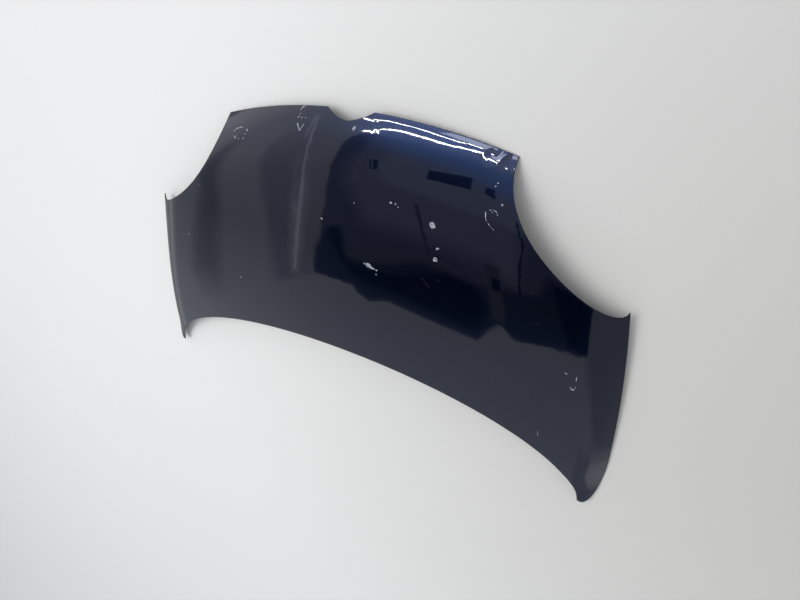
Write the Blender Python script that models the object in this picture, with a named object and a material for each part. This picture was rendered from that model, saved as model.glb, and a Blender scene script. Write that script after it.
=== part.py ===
"""Front bonnet of a small hatchback, lying as it comes to rest: painted face up, on its hemmed edges.

Metres. +X is the car's right-hand side, +Y the nose, +Z up out of the painted face.
Outlines are worked out with y = 0 at the rear tips; the last step centres the panel over the origin.
"""
import math

import bmesh
import bpy
import numpy as np
from mathutils import Matrix, Vector
from mathutils.bvhtree import BVHTree

# Outline in plan, right-hand half
HALF_WIDTH = 0.7066
WIDEST_Y = 0.1313
TAIL_SWEEP = 0.036
SIDE_TIP_Y = 0.4992
SIDE_PULL_IN = 0.0288
TAIL_FLAT = 0.0091
REAR_HALF_WIDTH = HALF_WIDTH - TAIL_SWEEP - TAIL_FLAT
REAR_RISE = 0.2242
TAIL_ROUND = 0.006
NOSE_Y = 0.8131
CORNER_X = 0.4011
NOSE_SWEEP = 0.0519
CORNER_HANDLE = (-0.0063, -0.1659)
TIP_HANDLE = (-0.0069, -0.059)
NOTCH_HALF_WIDTH = 0.0648
NOTCH_DEPTH = 0.0226
NOTCH_POWER = 1.66

# Crown of the painted face
CROWN = 0.0983
CROWN_BACK = 0.3404
CROWN_FALL = 0.0323
LIP_DROP = 0.0427
LIP_REACH = 0.1546
CROSS_FALL = 0.0475
CROSS_FALL_NOSE = 0.0231
ROLL_REACH = 0.0964
ROLL_POWER = 2.2
SIDE_EDGE_Z = 0.0014
SIDE_LOW_Y = 0.083
SIDE_TIP_RISE = 0.0205
TAIL_LIFT = 0.0138

# Creases that run back from the corners of the notch
CREASE_DRIFT = 0.0405
CREASE_SETTLE = 0.075
CREASE_STEP = 0.0024
CREASE_HALF_WIDTH = 0.009
CREASE_FADE_START = 0.24
CREASE_FADE_LENGTH = 0.12

# Sheets and hem
SKIN_T = 0.00075
FRAME_T = 0.0007
GAP = 0.0003
HEM_WIDTH = 0.011
HEM_T = 2 * SKIN_T + FRAME_T + 2 * GAP
FOLD_BACK = 0.0010
SLOT_ROOT = 0.0019
FRAME_SHORT = 0.0004
FRAME_EDGE = SLOT_ROOT + FRAME_SHORT

# Inner frame section
CHANNEL_DEPTH = 0.024
FIELD_DEPTH = 0.0050
WALL_RISE = 0.9
FLANGE_END = 0.012

# Columns from the centre line to the side, as x at the nose edge and at the windscreen edge
NOTCH_SHARES = (0.0, 0.34, 0.64, 0.86, 1.0)
NOSE_SHARES = (0.035, 0.10, 0.20, 0.262, 0.43, 0.61, 0.80, 0.88, 1.0)
CUT_SHARES = (0.10, 0.17, 0.27, 0.38, 0.50, 0.62, 0.71, 0.80, 0.90, 1.0)
REAR_SHARES = (0, 0.040, 0.087, 0.127, 0.141, 0.155, 0.188, 0.228, 0.262, 0.336, 0.410, 0.478, 0.505,
               0.552, 0.594, 0.628, 0.677, 0.727, 0.779, 0.828, 0.868, 0.905, 0.95, 1.0)
ROW_SHARES = (0, 0.028, 0.07, 0.115, 0.165, 0.215, 0.275, 0.335, 0.40, 0.47, 0.54, 0.61, 0.68, 0.75,
              0.81, 0.865, 0.915, 0.96, 1.0)
CREASE_COLUMN = 4
CREASE_FREE = 9

# Raised fields of the inner frame and the opening cut in each, in columns and rows of the same grid
FIELDS = ((-5, 5, 5, 12), (8, 11, 5, 13), (15, 19, 8, 12))
OPENINGS = ((-3.7, 3.7, 5.45, 11.6), (8.3, 10.7, 5.45, 12.6), (15.45, 18.5, 8.5, 11.5))
OPENING_POWER = 4.0

# Flat pads pressed in the inner frame
HINGE_PAD = (16, 18, 2, 5)
STRIKER_PAD = (-2, 2, 14, 16)
STOP_PAD = (10, 11, 14, 16)
PLUG_PAD = (9, 10, 2, 4)
STAY_PAD = (6, 7, 8, 10)

# Fixings
HINGE_PITCH = 0.040
STRIKER_PITCH = 0.058
BOLT_D = 0.008
BOLT_HEAD_T = 0.0068
BOLT_CHAMFER = 0.0008
BOLT_FLANGE_D = 0.0175
BOLT_FLANGE_T = 0.0015
BOLT_PAST_NUT = 0.002
HOLE_D = 0.009
TAPPED_D = 0.0068
NUT_FLATS = 0.013
NUT_T = 0.0065
PLATE_T = 0.0025
PLATE_MARGIN = 0.003
PLATE_CORNER = 0.012
STRIKER_PLATE = (0.084, 0.034)
STRIKER_BACK = (0.086, 0.034)
STRIKER_CORNER = 0.006
FOOT_CORNER = 0.008
LOOP_WIRE = 0.008
LOOP_SPAN = 0.026
LOOP_DROP = 0.030
DRILL_REACH = 0.010

# Rubber stop, blanking plug, stay rod socket and soft pads
STOP_D = 0.026
STOP_T = 0.014
STOP_FOOT_T = 0.003
STOP_STEM_D = 0.008
BARB = 0.0008
STEM_TOP = 0.006
PLUG_D = 0.024
PLUG_RIM = 0.0035
PLUG_RIM_T = 0.0016
PLUG_WALL = 0.0032
PLUG_TOP = 0.0045
STAY_D = 0.012
STAY_BORE = 0.0075
STAY_RIM_D = 0.019
STAY_RIM_T = 0.0026
STAY_TOP = 0.005
MASTIC_D = 0.012
MASTIC_IN = 0.6
MASTIC_GAP = 2.4 * GAP
RAY_REACH = 3 * CROWN


def side_x(y):
    """Side edge: quarter ellipse round the tail, then a slow taper to the headlamp tip."""
    y = np.asarray(y, float)
    tail = np.clip((WIDEST_Y - y) / WIDEST_Y, 0, 1)
    behind = HALF_WIDTH - TAIL_SWEEP * (1 - np.sqrt(1 - tail**2))
    ahead = HALF_WIDTH - SIDE_PULL_IN * ((y - WIDEST_Y) / (SIDE_TIP_Y - WIDEST_Y)) ** 2
    return np.where(y > WIDEST_Y, ahead, behind)


def nose_y(x):
    return NOSE_Y - NOSE_SWEEP * (np.asarray(x, float) / CORNER_X) ** 2


def ease(t):
    t = np.clip(t, 0, 1)
    return t * t * (3 - 2 * t)


def crease_x(back):
    return NOTCH_HALF_WIDTH + CREASE_DRIFT * (1 - np.exp(-np.clip(back, 0, None) / CREASE_SETTLE))


def crease_fade(back):
    return 1 - ease((back - CREASE_FADE_START) / CREASE_FADE_LENGTH)


def longways(x, y):
    """Height before the sides roll over: the crown front to back, less the fall across."""
    back = nose_y(x) - y
    lip = LIP_DROP * np.clip(1 - back / LIP_REACH, 0, None) ** ROLL_POWER
    along_fall = CROWN_FALL * (back / CROWN_BACK - 1) ** 2
    across_fall = CROSS_FALL + CROSS_FALL_NOSE * (np.clip(y, 0, None) / NOSE_Y) ** 2
    return CROWN - along_fall - lip - across_fall * (x / HALF_WIDTH) ** 2


def face_z(x, y):
    """Height of the painted face over a point of the plan."""
    x = np.abs(np.asarray(x, float))
    y = np.asarray(y, float)
    edge = side_x(np.clip(y, 0, None))
    climb = SIDE_TIP_RISE / (SIDE_TIP_Y - SIDE_LOW_Y)
    edge_z = SIDE_EDGE_Z + climb * np.clip(y - SIDE_LOW_Y, 0, None)
    edge_z = edge_z + TAIL_LIFT * (np.clip(SIDE_LOW_Y - y, 0, None) / SIDE_LOW_Y) ** 2
    roll = (longways(edge, y) - edge_z) * np.clip(1 - (edge - x) / ROLL_REACH, 0, 1.2) ** ROLL_POWER
    back = nose_y(x) - y
    share = ease((crease_x(back) + CREASE_HALF_WIDTH - x) / (2 * CREASE_HALF_WIDTH))
    return longways(x, y) - roll + CREASE_STEP * crease_fade(back) * (share - 0.5)


def face_normal(x, y):
    s = 0.0008
    dx = (face_z(x + s, y) - face_z(x - s, y)) / (2 * s)
    dy = (face_z(x, y + s) - face_z(x, y - s)) / (2 * s)
    n = np.stack([-dx, -dy, np.ones_like(dx)], -1)
    return n / np.linalg.norm(n, axis=-1, keepdims=True)


def on_face(plan, depth):
    """Points at a depth under the painted face, measured square to it."""
    plan = np.asarray(plan, float)
    x, y = plan[..., 0], plan[..., 1]
    top = np.stack([x, y, face_z(x, y)], -1)
    return top - face_normal(x, y) * np.asarray(depth, float)[..., None]


def outline():
    """The five edges of the right half in order round it, each as a fine run of points."""
    a = np.linspace(0, math.pi / 2, 160)
    rear = np.stack([REAR_HALF_WIDTH * np.sin(a), REAR_RISE * np.cos(a)], 1)
    side_y = SIDE_TIP_Y * np.linspace(0, 1, 160) ** 2
    side = np.stack([side_x(side_y), side_y], 1)
    t = np.linspace(0, 1, 120)[:, None]
    tip = side[-1]
    corner = np.array([CORNER_X, float(nose_y(CORNER_X))])
    near_tip = tip + np.array(TIP_HANDLE)
    near_corner = corner + np.array(CORNER_HANDLE)
    cut = (1 - t) ** 3 * tip + 3 * (1 - t) ** 2 * t * near_tip
    cut = cut + 3 * (1 - t) * t**2 * near_corner + t**3 * corner
    nose_x = np.linspace(CORNER_X, NOTCH_HALF_WIDTH, 80)
    nose = np.stack([nose_x, nose_y(nose_x)], 1)
    notch_x = np.linspace(NOTCH_HALF_WIDTH, 0, 60)
    hollow = NOTCH_DEPTH * (1 - (notch_x / NOTCH_HALF_WIDTH) ** NOTCH_POWER)
    notch = np.stack([notch_x, nose_y(NOTCH_HALF_WIDTH) - hollow], 1)
    return [rear, side, cut, nose, notch]


def rounded_tail(edges):
    """Takes the square corner off the tail, where the windscreen edge meets the side edge."""
    rear, side = edges[0], edges[1]
    r = min(TAIL_ROUND, TAIL_FLAT * 0.9)
    a = np.linspace(0, math.pi / 2, 10)
    arc = np.stack([REAR_HALF_WIDTH + r * (1 - np.cos(a)), r * (1 - np.sin(a))], 1)
    rear = np.vstack([rear[rear[:, 1] > r], arc])
    side = np.vstack([arc[-1:], side])
    return [rear, side] + edges[2:]


def shifted(run, inward):
    step = np.gradient(run, axis=0)
    step = step / np.linalg.norm(step, axis=1, keepdims=True)
    return run + inward * np.stack([-step[:, 1], step[:, 0]], 1)


def trimmed(first, second):
    """Cuts two runs back to the point where they cross."""
    p, r = first[:-1, None], np.diff(first, axis=0)[:, None]
    q, s = second[None, :-1], np.diff(second, axis=0)[None]
    cross = r[..., 0] * s[..., 1] - r[..., 1] * s[..., 0]
    cross = np.where(np.abs(cross) < 1e-15, 1e-15, cross)
    d = q - p
    t = (d[..., 0] * s[..., 1] - d[..., 1] * s[..., 0]) / cross
    u = (d[..., 0] * r[..., 1] - d[..., 1] * r[..., 0]) / cross
    hit = np.argwhere((t >= 0) & (t <= 1) & (u >= 0) & (u <= 1))
    if len(hit) == 0:
        return first, second
    i, j = hit[-1]
    at = first[i] + t[i, j] * (first[i + 1] - first[i])
    return np.vstack([first[: i + 1], at]), np.vstack([at, second[j + 1:]])


def along(run, shares):
    length = np.concatenate([[0], np.cumsum(np.linalg.norm(np.diff(run, axis=0), axis=1))])
    where = np.asarray(shares, float) * length[-1]
    return np.stack([np.interp(where, length, run[:, k]) for k in (0, 1)], 1)


def stations(edges):
    """Rear, side and nose edges of the right half at the grid's columns and rows, from the centre out."""
    rear, side, cut, nose, notch = edges
    front = np.vstack([
        along(notch[::-1], NOTCH_SHARES),
        along(nose[::-1], NOSE_SHARES),
        along(cut[::-1], CUT_SHARES),
    ])
    return along(rear, REAR_SHARES), along(side, ROW_SHARES), front


def inset_edges(edges, inward):
    runs = [shifted(run, inward) for run in edges]
    for k in range(len(runs) - 1):
        runs[k], runs[k + 1] = trimmed(runs[k], runs[k + 1])
    return runs


def half_grid(rear, side, front):
    """Fills the right half between its edges; columns near the crease follow it."""
    u = 0.5 * (rear[:, 0] / rear[-1, 0] + front[:, 0] / front[-1, 0])[:, None, None]
    v = np.asarray(ROW_SHARES)[None, :, None]
    middle = (1 - v) * rear[0] + v * front[0]
    lines = (1 - v) * rear[:, None] + v * front[:, None]
    across = (1 - u) * middle + u * side[None]
    corners = (1 - u) * middle + u * ((1 - v) * rear[-1] + v * front[-1])
    grid = lines + across - corners
    share = np.concatenate([
        np.linspace(0, 1, CREASE_COLUMN + 1),
        np.linspace(1, 0, CREASE_FREE - CREASE_COLUMN + 1)[1:],
    ])
    for j in range(1, len(side) - 1):
        back = nose_y(grid[CREASE_COLUMN, j, 0]) - grid[CREASE_COLUMN, j, 1]
        pull = crease_x(back) - grid[CREASE_COLUMN, j, 0]
        grid[: CREASE_FREE + 1, j, 0] += share * pull * crease_fade(back)
    return grid


def mirrored(half):
    """Both halves of a run of columns, the centre line once."""
    left = half[:0:-1].copy()
    left[..., 0] *= -1
    return np.concatenate([left, half])


class Plan:
    """Grid of the whole panel inside the hem line, and the folded edge outside it."""

    def __init__(self):
        edges = outline()
        self.edge_runs = rounded_tail(edges)
        rear, side, front = stations(self.edge_runs)
        in_rear, in_side, in_front = stations(inset_edges(edges, HEM_WIDTH))
        self.grid = mirrored(half_grid(in_rear, in_side, in_front))
        self.columns, self.rows = self.grid.shape[:2]
        self.centre = self.columns // 2
        full_rear, full_front = mirrored(rear), mirrored(front)
        left = side * np.array([-1, 1])
        c, r = self.columns - 1, self.rows - 1
        self.ring = [(i, 0) for i in range(c)] + [(c, j) for j in range(r)]
        self.ring += [(i, r) for i in range(c, 0, -1)] + [(0, j) for j in range(r, 0, -1)]
        edge = [full_rear[i] for i in range(c)] + [side[j] for j in range(r)]
        edge += [full_front[i] for i in range(c, 0, -1)] + [left[j] for j in range(r, 0, -1)]
        self.edge = np.array(edge)
        self.inside = np.array([self.grid[i, j] for i, j in self.ring])
        whole = np.vstack(self.edge_runs)
        self.fence = np.vstack([whole, whole * np.array([-1, 1])])

    def at(self, column, row):
        """Point of the plan at a fractional column, counted from the centre line, and row."""
        i = np.clip(np.asarray(column, float) + self.centre, 0, self.columns - 1.001)
        j = np.clip(np.asarray(row, float), 0, self.rows - 1.001)
        a, b = i.astype(int), j.astype(int)
        f, g = (i - a)[..., None], (j - b)[..., None]
        lower = self.grid[a, b] * (1 - f) + self.grid[a + 1, b] * f
        upper = self.grid[a, b + 1] * (1 - f) + self.grid[a + 1, b + 1] * f
        return lower * (1 - g) + upper * g

    def from_edge(self, plan):
        flat = plan.reshape(-1, 1, 2)
        near = np.sqrt(((flat - self.fence[None]) ** 2).sum(-1)).min(1)
        return near.reshape(plan.shape[:-1])


def two_sided(pads):
    """A pad or field on the right, and its mirror on the left unless it lies across the centre."""
    both = []
    for c0, c1, r0, r1 in pads:
        both.append((c0, c1, r0, r1))
        if c0 > 0:
            both.append((-c1, -c0, r0, r1))
    return both


def new_object(name, points, faces, material):
    mesh = bpy.data.meshes.new(name)
    mesh.from_pydata([tuple(map(float, p)) for p in points], [], [tuple(map(int, f)) for f in faces])
    work = bmesh.new()
    work.from_mesh(mesh)
    bmesh.ops.remove_doubles(work, verts=work.verts, dist=1e-7)
    bmesh.ops.recalc_face_normals(work, faces=work.faces)
    work.to_mesh(mesh)
    work.free()
    mesh.materials.append(material)
    made = bpy.data.objects.new(name, mesh)
    bpy.context.scene.collection.objects.link(made)
    return made


def material(name, colour, metallic, roughness, coat=0.0):
    made = bpy.data.materials.new(name)
    made.use_nodes = True
    shader = made.node_tree.nodes["Principled BSDF"]
    shader.inputs["Base Color"].default_value = (*colour, 1)
    shader.inputs["Metallic"].default_value = metallic
    shader.inputs["Roughness"].default_value = roughness
    shader.inputs["Coat Weight"].default_value = coat
    made.diffuse_color = (*colour, 1)
    return made


def grid_faces(base, columns, rows, flip):
    """Both sheets are split into the same triangles, so that they stay parallel."""
    faces = []
    for i in range(columns - 1):
        for j in range(rows - 1):
            a = base + i * rows + j
            b, c, d = a + rows, a + rows + 1, a + 1
            if i < columns // 2:
                pair = [(a, b, d), (b, c, d)]
            else:
                pair = [(a, b, c), (a, c, d)]
            faces += [face[::-1] for face in pair] if flip else pair
    return faces


def loop_faces(loops, inner=()):
    """Joins closed loops of the same length, each to the next; the strips named inner split the other way."""
    faces = []
    count = len(loops[0])
    for s, (first, second) in enumerate(zip(loops[:-1], loops[1:])):
        for k in range(count):
            n = (k + 1) % count
            if s in inner:
                faces += [(first[k], first[n], second[k]), (first[n], second[n], second[k])]
            else:
                faces += [(first[k], first[n], second[n]), (first[k], second[n], second[k])]
    return faces


def outer_skin(plan, paint):
    """Pressed outer sheet, its edge folded back under itself to grip the inner frame."""
    zero = np.zeros(plan.grid.shape[:2])
    top = on_face(plan.grid, zero).reshape(-1, 3)
    under = on_face(plan.grid, zero + SKIN_T).reshape(-1, 3)
    count = len(plan.ring)
    edge_top = on_face(plan.edge, np.zeros(count))
    inward = on_face(plan.inside, np.zeros(count)) - edge_top
    inward = inward / np.linalg.norm(inward, axis=1, keepdims=True)
    normal = face_normal(plan.edge[:, 0], plan.edge[:, 1])
    section = (
        (FOLD_BACK, 0.0), (0.0, 0.5 * HEM_T), (FOLD_BACK, HEM_T),
        None, None,
        (SLOT_ROOT, HEM_T - SKIN_T), (SLOT_ROOT, SKIN_T),
    )
    flange = iter((HEM_T, HEM_T - SKIN_T))
    points = [top, under]
    loops = [[i * plan.rows + j for i, j in plan.ring]]
    base = len(top) + len(under)
    for place in section:
        if place is None:
            layer = on_face(plan.inside, np.full(count, next(flange)))
        else:
            layer = edge_top + inward * place[0] - normal * place[1]
        points.append(layer)
        loops.append(list(range(base, base + count)))
        base += count
    loops.append([len(top) + i * plan.rows + j for i, j in plan.ring])
    faces = grid_faces(0, plan.columns, plan.rows, False)
    faces += grid_faces(len(top), plan.columns, plan.rows, True)
    faces += loop_faces(loops, (0, 5))
    return new_object("outer_skin", np.vstack(points), faces, paint)


def frame_depths(plan):
    """How far the inner frame lies under the painted face at each grid point."""
    shallow = SKIN_T + GAP
    room = plan.from_edge(plan.grid)
    depth = np.clip(shallow + WALL_RISE * (room - FLANGE_END), shallow, CHANNEL_DEPTH)
    for c0, c1, r0, r1 in two_sided(FIELDS):
        depth[c0 + plan.centre: c1 + plan.centre + 1, r0: r1 + 1] = FIELD_DEPTH
    for i, j in plan.ring:
        depth[i, j] = shallow
    return depth


def flatten(plan, sheet, pad):
    """Presses one pad of the grid flat; returns its middle, its across and along directions and its normal."""
    c0, c1, r0, r1 = pad
    part = (slice(c0 + plan.centre, c1 + plan.centre + 1), slice(r0, r1 + 1))
    points = sheet[part].reshape(-1, 3)
    middle = points.mean(0)
    slope = np.linalg.lstsq(points[:, :2] - middle[:2], points[:, 2] - middle[2], rcond=None)[0]
    points[:, 2] = middle[2] + (points[:, :2] - middle[:2]) @ slope
    sheet[part] = points.reshape(sheet[part].shape)
    normal = Vector((-slope[0], -slope[1], 1)).normalized()
    middle = Vector(middle)
    along_y = Vector((0, 1, slope[1])).normalized()
    across = along_y.cross(normal).normalized()
    return Matrix.Translation(middle) @ Matrix((across, along_y, normal)).transposed().to_4x4()


def inner_frame(plan, paint):
    """Pressed inner panel: edge held in the hem, a channel all round, ribs between raised fields."""
    depth = frame_depths(plan)
    top = on_face(plan.grid, depth)
    pads = {}
    for label, pad in (("hinge", HINGE_PAD), ("striker", STRIKER_PAD), ("stop", STOP_PAD),
                       ("plug", PLUG_PAD), ("stay", STAY_PAD)):
        for place in two_sided([pad]):
            side = "" if place[0] < 0 < place[1] else ("_right" if place[0] > 0 else "_left")
            if label + side != "stay_left":
                pads[label + side] = (place, flatten(plan, top, place))
    normal = face_normal(plan.grid[..., 0], plan.grid[..., 1])
    under = top - normal * FRAME_T
    for place, matrix in pads.values():
        c0, c1, r0, r1 = place
        part = (slice(c0 + plan.centre, c1 + plan.centre + 1), slice(r0, r1 + 1))
        under[part] = top[part] - np.array(matrix.col[2][:3]) * FRAME_T
    count = len(plan.ring)
    edge_top = on_face(plan.edge, np.zeros(count))
    inward = on_face(plan.inside, np.zeros(count)) - edge_top
    inward = inward / np.linalg.norm(inward, axis=1, keepdims=True)
    out = face_normal(plan.edge[:, 0], plan.edge[:, 1])
    rim = [edge_top + inward * FRAME_EDGE - out * (SKIN_T + GAP + t) for t in (0, FRAME_T)]
    size = plan.columns * plan.rows
    loops = [
        [i * plan.rows + j for i, j in plan.ring],
        list(range(2 * size, 2 * size + count)),
        list(range(2 * size + count, 2 * size + 2 * count)),
        [size + i * plan.rows + j for i, j in plan.ring],
    ]
    faces = grid_faces(0, plan.columns, plan.rows, False)
    faces += grid_faces(size, plan.columns, plan.rows, True)
    faces += loop_faces(loops, (0,))
    points = np.vstack([top.reshape(-1, 3), under.reshape(-1, 3)] + rim)
    made = new_object("inner_frame", points, faces, paint)
    return made, {name: matrix for name, (place, matrix) in pads.items()}


def opening_outline(plan, opening, count=28):
    c0, c1, r0, r1 = opening
    a = np.arange(count) * 2 * math.pi / count
    power = 2 / OPENING_POWER
    cos = np.sign(np.cos(a)) * np.abs(np.cos(a)) ** power
    sin = np.sign(np.sin(a)) * np.abs(np.sin(a)) ** power
    return plan.at((c0 + c1) / 2 + (c1 - c0) / 2 * cos, (r0 + r1) / 2 + (r1 - r0) / 2 * sin)


def cutter(name, points, faces, target):
    made = new_object(name, points, faces, target.data.materials[0])
    made.hide_render = True
    made.display_type = "WIRE"
    cut = target.modifiers.new(name, "BOOLEAN")
    cut.operation = "DIFFERENCE"
    cut.solver = "EXACT"
    cut.object = made
    return made


def prism(outline_points, low, high):
    count = len(outline_points)
    points = [(x, y, low) for x, y in outline_points] + [(x, y, high) for x, y in outline_points]
    faces = [tuple(range(count))[::-1], tuple(range(count, 2 * count))]
    faces += [(k, (k + 1) % count, count + (k + 1) % count, count + k) for k in range(count)]
    return points, faces


def circle(diameter, count, middle=(0.0, 0.0)):
    a = np.arange(count) * 2 * math.pi / count
    return np.stack([middle[0] + diameter / 2 * np.cos(a), middle[1] + diameter / 2 * np.sin(a)], 1)


def cut_openings(plan, frame):
    for n, opening in enumerate(two_sided(OPENINGS)):
        points, faces = prism(opening_outline(plan, opening), -CROWN, 2 * CROWN)
        cutter(f"opening_cutter_{n}", points, faces, frame)


def drill(name, target, matrix, diameter, middle=(0.0, 0.0), count=12):
    points, faces = prism(circle(diameter, count, middle), -DRILL_REACH, DRILL_REACH)
    cutter(name, [matrix @ Vector(p) for p in points], faces, target)


def turned(profile, count):
    """Solid of revolution; the profile runs from the axis back to the axis, outside the solid on its right."""
    points = [(0, 0, profile[0][1])]
    a = np.arange(count) * 2 * math.pi / count
    for r, z in profile[1:-1]:
        points += [(r * math.cos(t), r * math.sin(t), z) for t in a]
    points.append((0, 0, profile[-1][1]))
    last = len(points) - 1
    inner = len(profile) - 2
    faces = [(0, 1 + (k + 1) % count, 1 + k) for k in range(count)]
    for s in range(inner - 1):
        b = 1 + s * count
        ring = [(k, (k + 1) % count) for k in range(count)]
        faces += [(b + k, b + n, b + count + n, b + count + k) for k, n in ring]
    b = 1 + (inner - 1) * count
    faces += [(b + k, b + (k + 1) % count, last) for k in range(count)]
    return points, faces


def collar(outer, inner, low, high):
    """Ring between two outlines of the same number of points."""
    count = len(outer)
    loops = []
    points = []
    for run, z in ((outer, low), (outer, high), (inner, high), (inner, low), (outer, low)):
        loops.append(list(range(len(points), len(points) + count)))
        points += [(x, y, z) for x, y in run]
    loops[-1] = loops[0]
    return points[: 4 * count], loop_faces(loops)


def hexagon(flats, count=12, middle=(0.0, 0.0)):
    a = np.arange(count) * 2 * math.pi / count
    r = flats / 2 / np.cos((a + math.pi / 6) % (math.pi / 3) - math.pi / 6)
    return np.stack([middle[0] + r * np.cos(a), middle[1] + r * np.sin(a)], 1)


def placed(name, shape, matrix, finish):
    points, faces = shape
    return new_object(name, [matrix @ Vector(p) for p in points], faces, finish)


def softened(corners, cut):
    """Four-cornered outline with each corner turned into a short curve."""
    points = []
    for k, corner in enumerate(corners):
        before = corner + (corners[k - 1] - corner).normalized() * cut
        after = corner + (corners[(k + 1) % 4] - corner).normalized() * cut
        for step in range(4):
            t = step / 3
            points.append((1 - t) ** 2 * before + 2 * t * (1 - t) * corner + t * t * after)
    return [(p.x, p.y) for p in points]


def rounded_plate(width, length, corner, low, high):
    x, y = width / 2, length / 2
    corners = [Vector((x, y)), Vector((-x, y)), Vector((-x, -y)), Vector((x, -y))]
    return prism(softened(corners, corner * 1.4), low, high)


def pad_plate(plan, pad, at, low, high):
    """Plate that fills a flat pad up to its margin."""
    c0, c1, r0, r1 = pad
    middle = at.translation
    corners = []
    for c, r in ((c1, r1), (c0, r1), (c0, r0), (c1, r0)):
        x, y = plan.at(np.array([c]), np.array([r]))[0]
        away = Vector((x - middle.x, y - middle.y))
        corners.append(away * (1 - 1.4 * PLATE_MARGIN / away.length))
    if c0 < 0:
        corners = corners[::-1]
    return prism(softened(corners, PLATE_CORNER), low, high)


def hinge_fixings(plan, pads, frame, coat, zinc):
    """Behind each hinge pad: a reinforcing plate and two weld nuts; the hinge itself bolts on from below."""
    base = GAP
    for side in ("left", "right"):
        at = pads["hinge_" + side]
        c0, c1, r0, r1 = HINGE_PAD
        pad = HINGE_PAD if side == "right" else (-c1, -c0, r0, r1)
        shape = pad_plate(plan, pad, at, base, base + PLATE_T)
        plate = placed("hinge_reinforcement_" + side, shape, at, coat)
        for end, y in (("rear", -HINGE_PITCH / 2), ("front", HINGE_PITCH / 2)):
            drill(f"hinge_hole_{side}_{end}", frame, at, HOLE_D, (0, y))
            drill(f"hinge_plate_hole_{side}_{end}", plate, at, HOLE_D, (0, y))
            low = base + PLATE_T + GAP
            nut = collar(hexagon(NUT_FLATS, 12, (0, y)), circle(TAPPED_D, 12, (0, y)), low, low + NUT_T)
            placed(f"hinge_nut_{side}_{end}", nut, at, zinc)


def striker(pads, frame, coat, zinc):
    """Striker under the nose: backing plate inside, footplate, wire loop, two bolts and their nuts."""
    at = pads["striker"]
    back_shape = rounded_plate(*STRIKER_BACK, STRIKER_CORNER, GAP, GAP + PLATE_T)
    back = placed("striker_reinforcement", back_shape, at, coat)
    top = -FRAME_T - GAP
    foot_shape = rounded_plate(*STRIKER_PLATE, FOOT_CORNER, top - PLATE_T, top)
    foot = placed("striker_footplate", foot_shape, at, zinc)
    for side, x in (("left", -STRIKER_PITCH / 2), ("right", STRIKER_PITCH / 2)):
        drill("striker_hole_" + side, frame, at, HOLE_D, (x, 0))
        drill("striker_back_hole_" + side, back, at, HOLE_D, (x, 0))
        drill("striker_foot_hole_" + side, foot, at, HOLE_D, (x, 0))
        low = GAP + PLATE_T + GAP
        nut = collar(hexagon(NUT_FLATS, 12, (x, 0)), circle(BOLT_D + 2 * GAP, 12, (x, 0)), low, low + NUT_T)
        placed("striker_nut_" + side, nut, at, zinc)
        seat = top - PLATE_T - GAP
        shift = at @ Matrix.Translation((x, 0, 0))
        placed("striker_bolt_" + side, hex_bolt(seat, low + NUT_T + BOLT_PAST_NUT), shift, zinc)
    placed("striker_loop", wire_loop(top - PLATE_T - GAP), at, zinc)


def hex_bolt(seat, tip):
    """Flanged bolt, head under the seat and shank up to the tip."""
    count = 12
    head = seat - BOLT_HEAD_T
    points = [(0, 0, head)]
    rings = (
        (hexagon(NUT_FLATS - 3 * BOLT_CHAMFER), head), (hexagon(NUT_FLATS), head + BOLT_CHAMFER),
        (hexagon(NUT_FLATS), seat - 1.2 * BOLT_FLANGE_T),
        (circle(0.97 * BOLT_FLANGE_D, count), seat - BOLT_FLANGE_T), (circle(BOLT_FLANGE_D, count), seat),
        (circle(BOLT_D, count), seat), (circle(BOLT_D, count), tip - BOLT_CHAMFER),
        (circle(BOLT_D - 2 * BOLT_CHAMFER, count), tip),
    )
    for run, z in rings:
        points += [(x, y, z) for x, y in run]
    points.append((0, 0, tip))
    last = len(points) - 1
    faces = [(0, 1 + (k + 1) % count, 1 + k) for k in range(count)]
    loops = [list(range(1 + s * count, 1 + (s + 1) * count)) for s in range(len(rings))]
    faces += loop_faces(loops)
    faces += [(loops[-1][k], loops[-1][(k + 1) % count], last) for k in range(count)]
    return points, faces


def wire_loop(top, sides=10, turns=8):
    """U of round wire hanging from the footplate, its legs across the car."""
    radius = LOOP_SPAN / 2
    path = [(-radius, top)]
    for step in range(turns + 1):
        a = math.pi + math.pi * step / turns
        path.append((radius * math.cos(a), top - LOOP_DROP + radius + radius * math.sin(a)))
    path.append((radius, top))
    points = []
    for n, (x, z) in enumerate(path):
        ahead = path[min(n + 1, len(path) - 1)]
        behind = path[max(n - 1, 0)]
        if n in (0, len(path) - 1):
            direction = Vector((0, 0, -1 if n == 0 else 1))
        else:
            direction = Vector((ahead[0] - behind[0], 0, ahead[1] - behind[1])).normalized()
        across = Vector((0, 1, 0)).cross(direction).normalized()
        for k in range(sides):
            a = 2 * math.pi * k / sides
            offset = LOOP_WIRE / 2 * (math.cos(a) * Vector((0, 1, 0)) + math.sin(a) * across)
            points.append(Vector((x, 0, z)) + offset)
    loops = [list(range(n * sides, (n + 1) * sides)) for n in range(len(path))]
    faces = loop_faces(loops) + [tuple(loops[0][::-1]), tuple(loops[-1])]
    return points, faces


def bump_stops(pads, frame, rubber):
    """Rubber stop pushed into each front corner pad."""
    r = STOP_D / 2
    top = -FRAME_T - GAP
    stem = STOP_STEM_D / 2
    profile = [
        (0, top - STOP_T), (0.55 * r, top - STOP_T), (0.72 * r, top - 0.86 * STOP_T),
        (0.80 * r, top - 1.7 * STOP_FOOT_T), (r, top - STOP_FOOT_T), (r, top), (stem, top), (stem, GAP),
        (stem + 2.2 * BARB, GAP + BARB), (0.7 * stem, STEM_TOP), (0, STEM_TOP),
    ]
    for side in ("left", "right"):
        at = pads["stop_" + side]
        drill("stop_hole_" + side, frame, at, STOP_STEM_D + 2 * GAP)
        placed("bump_stop_" + side, turned(profile, 12), at, rubber)


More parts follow.
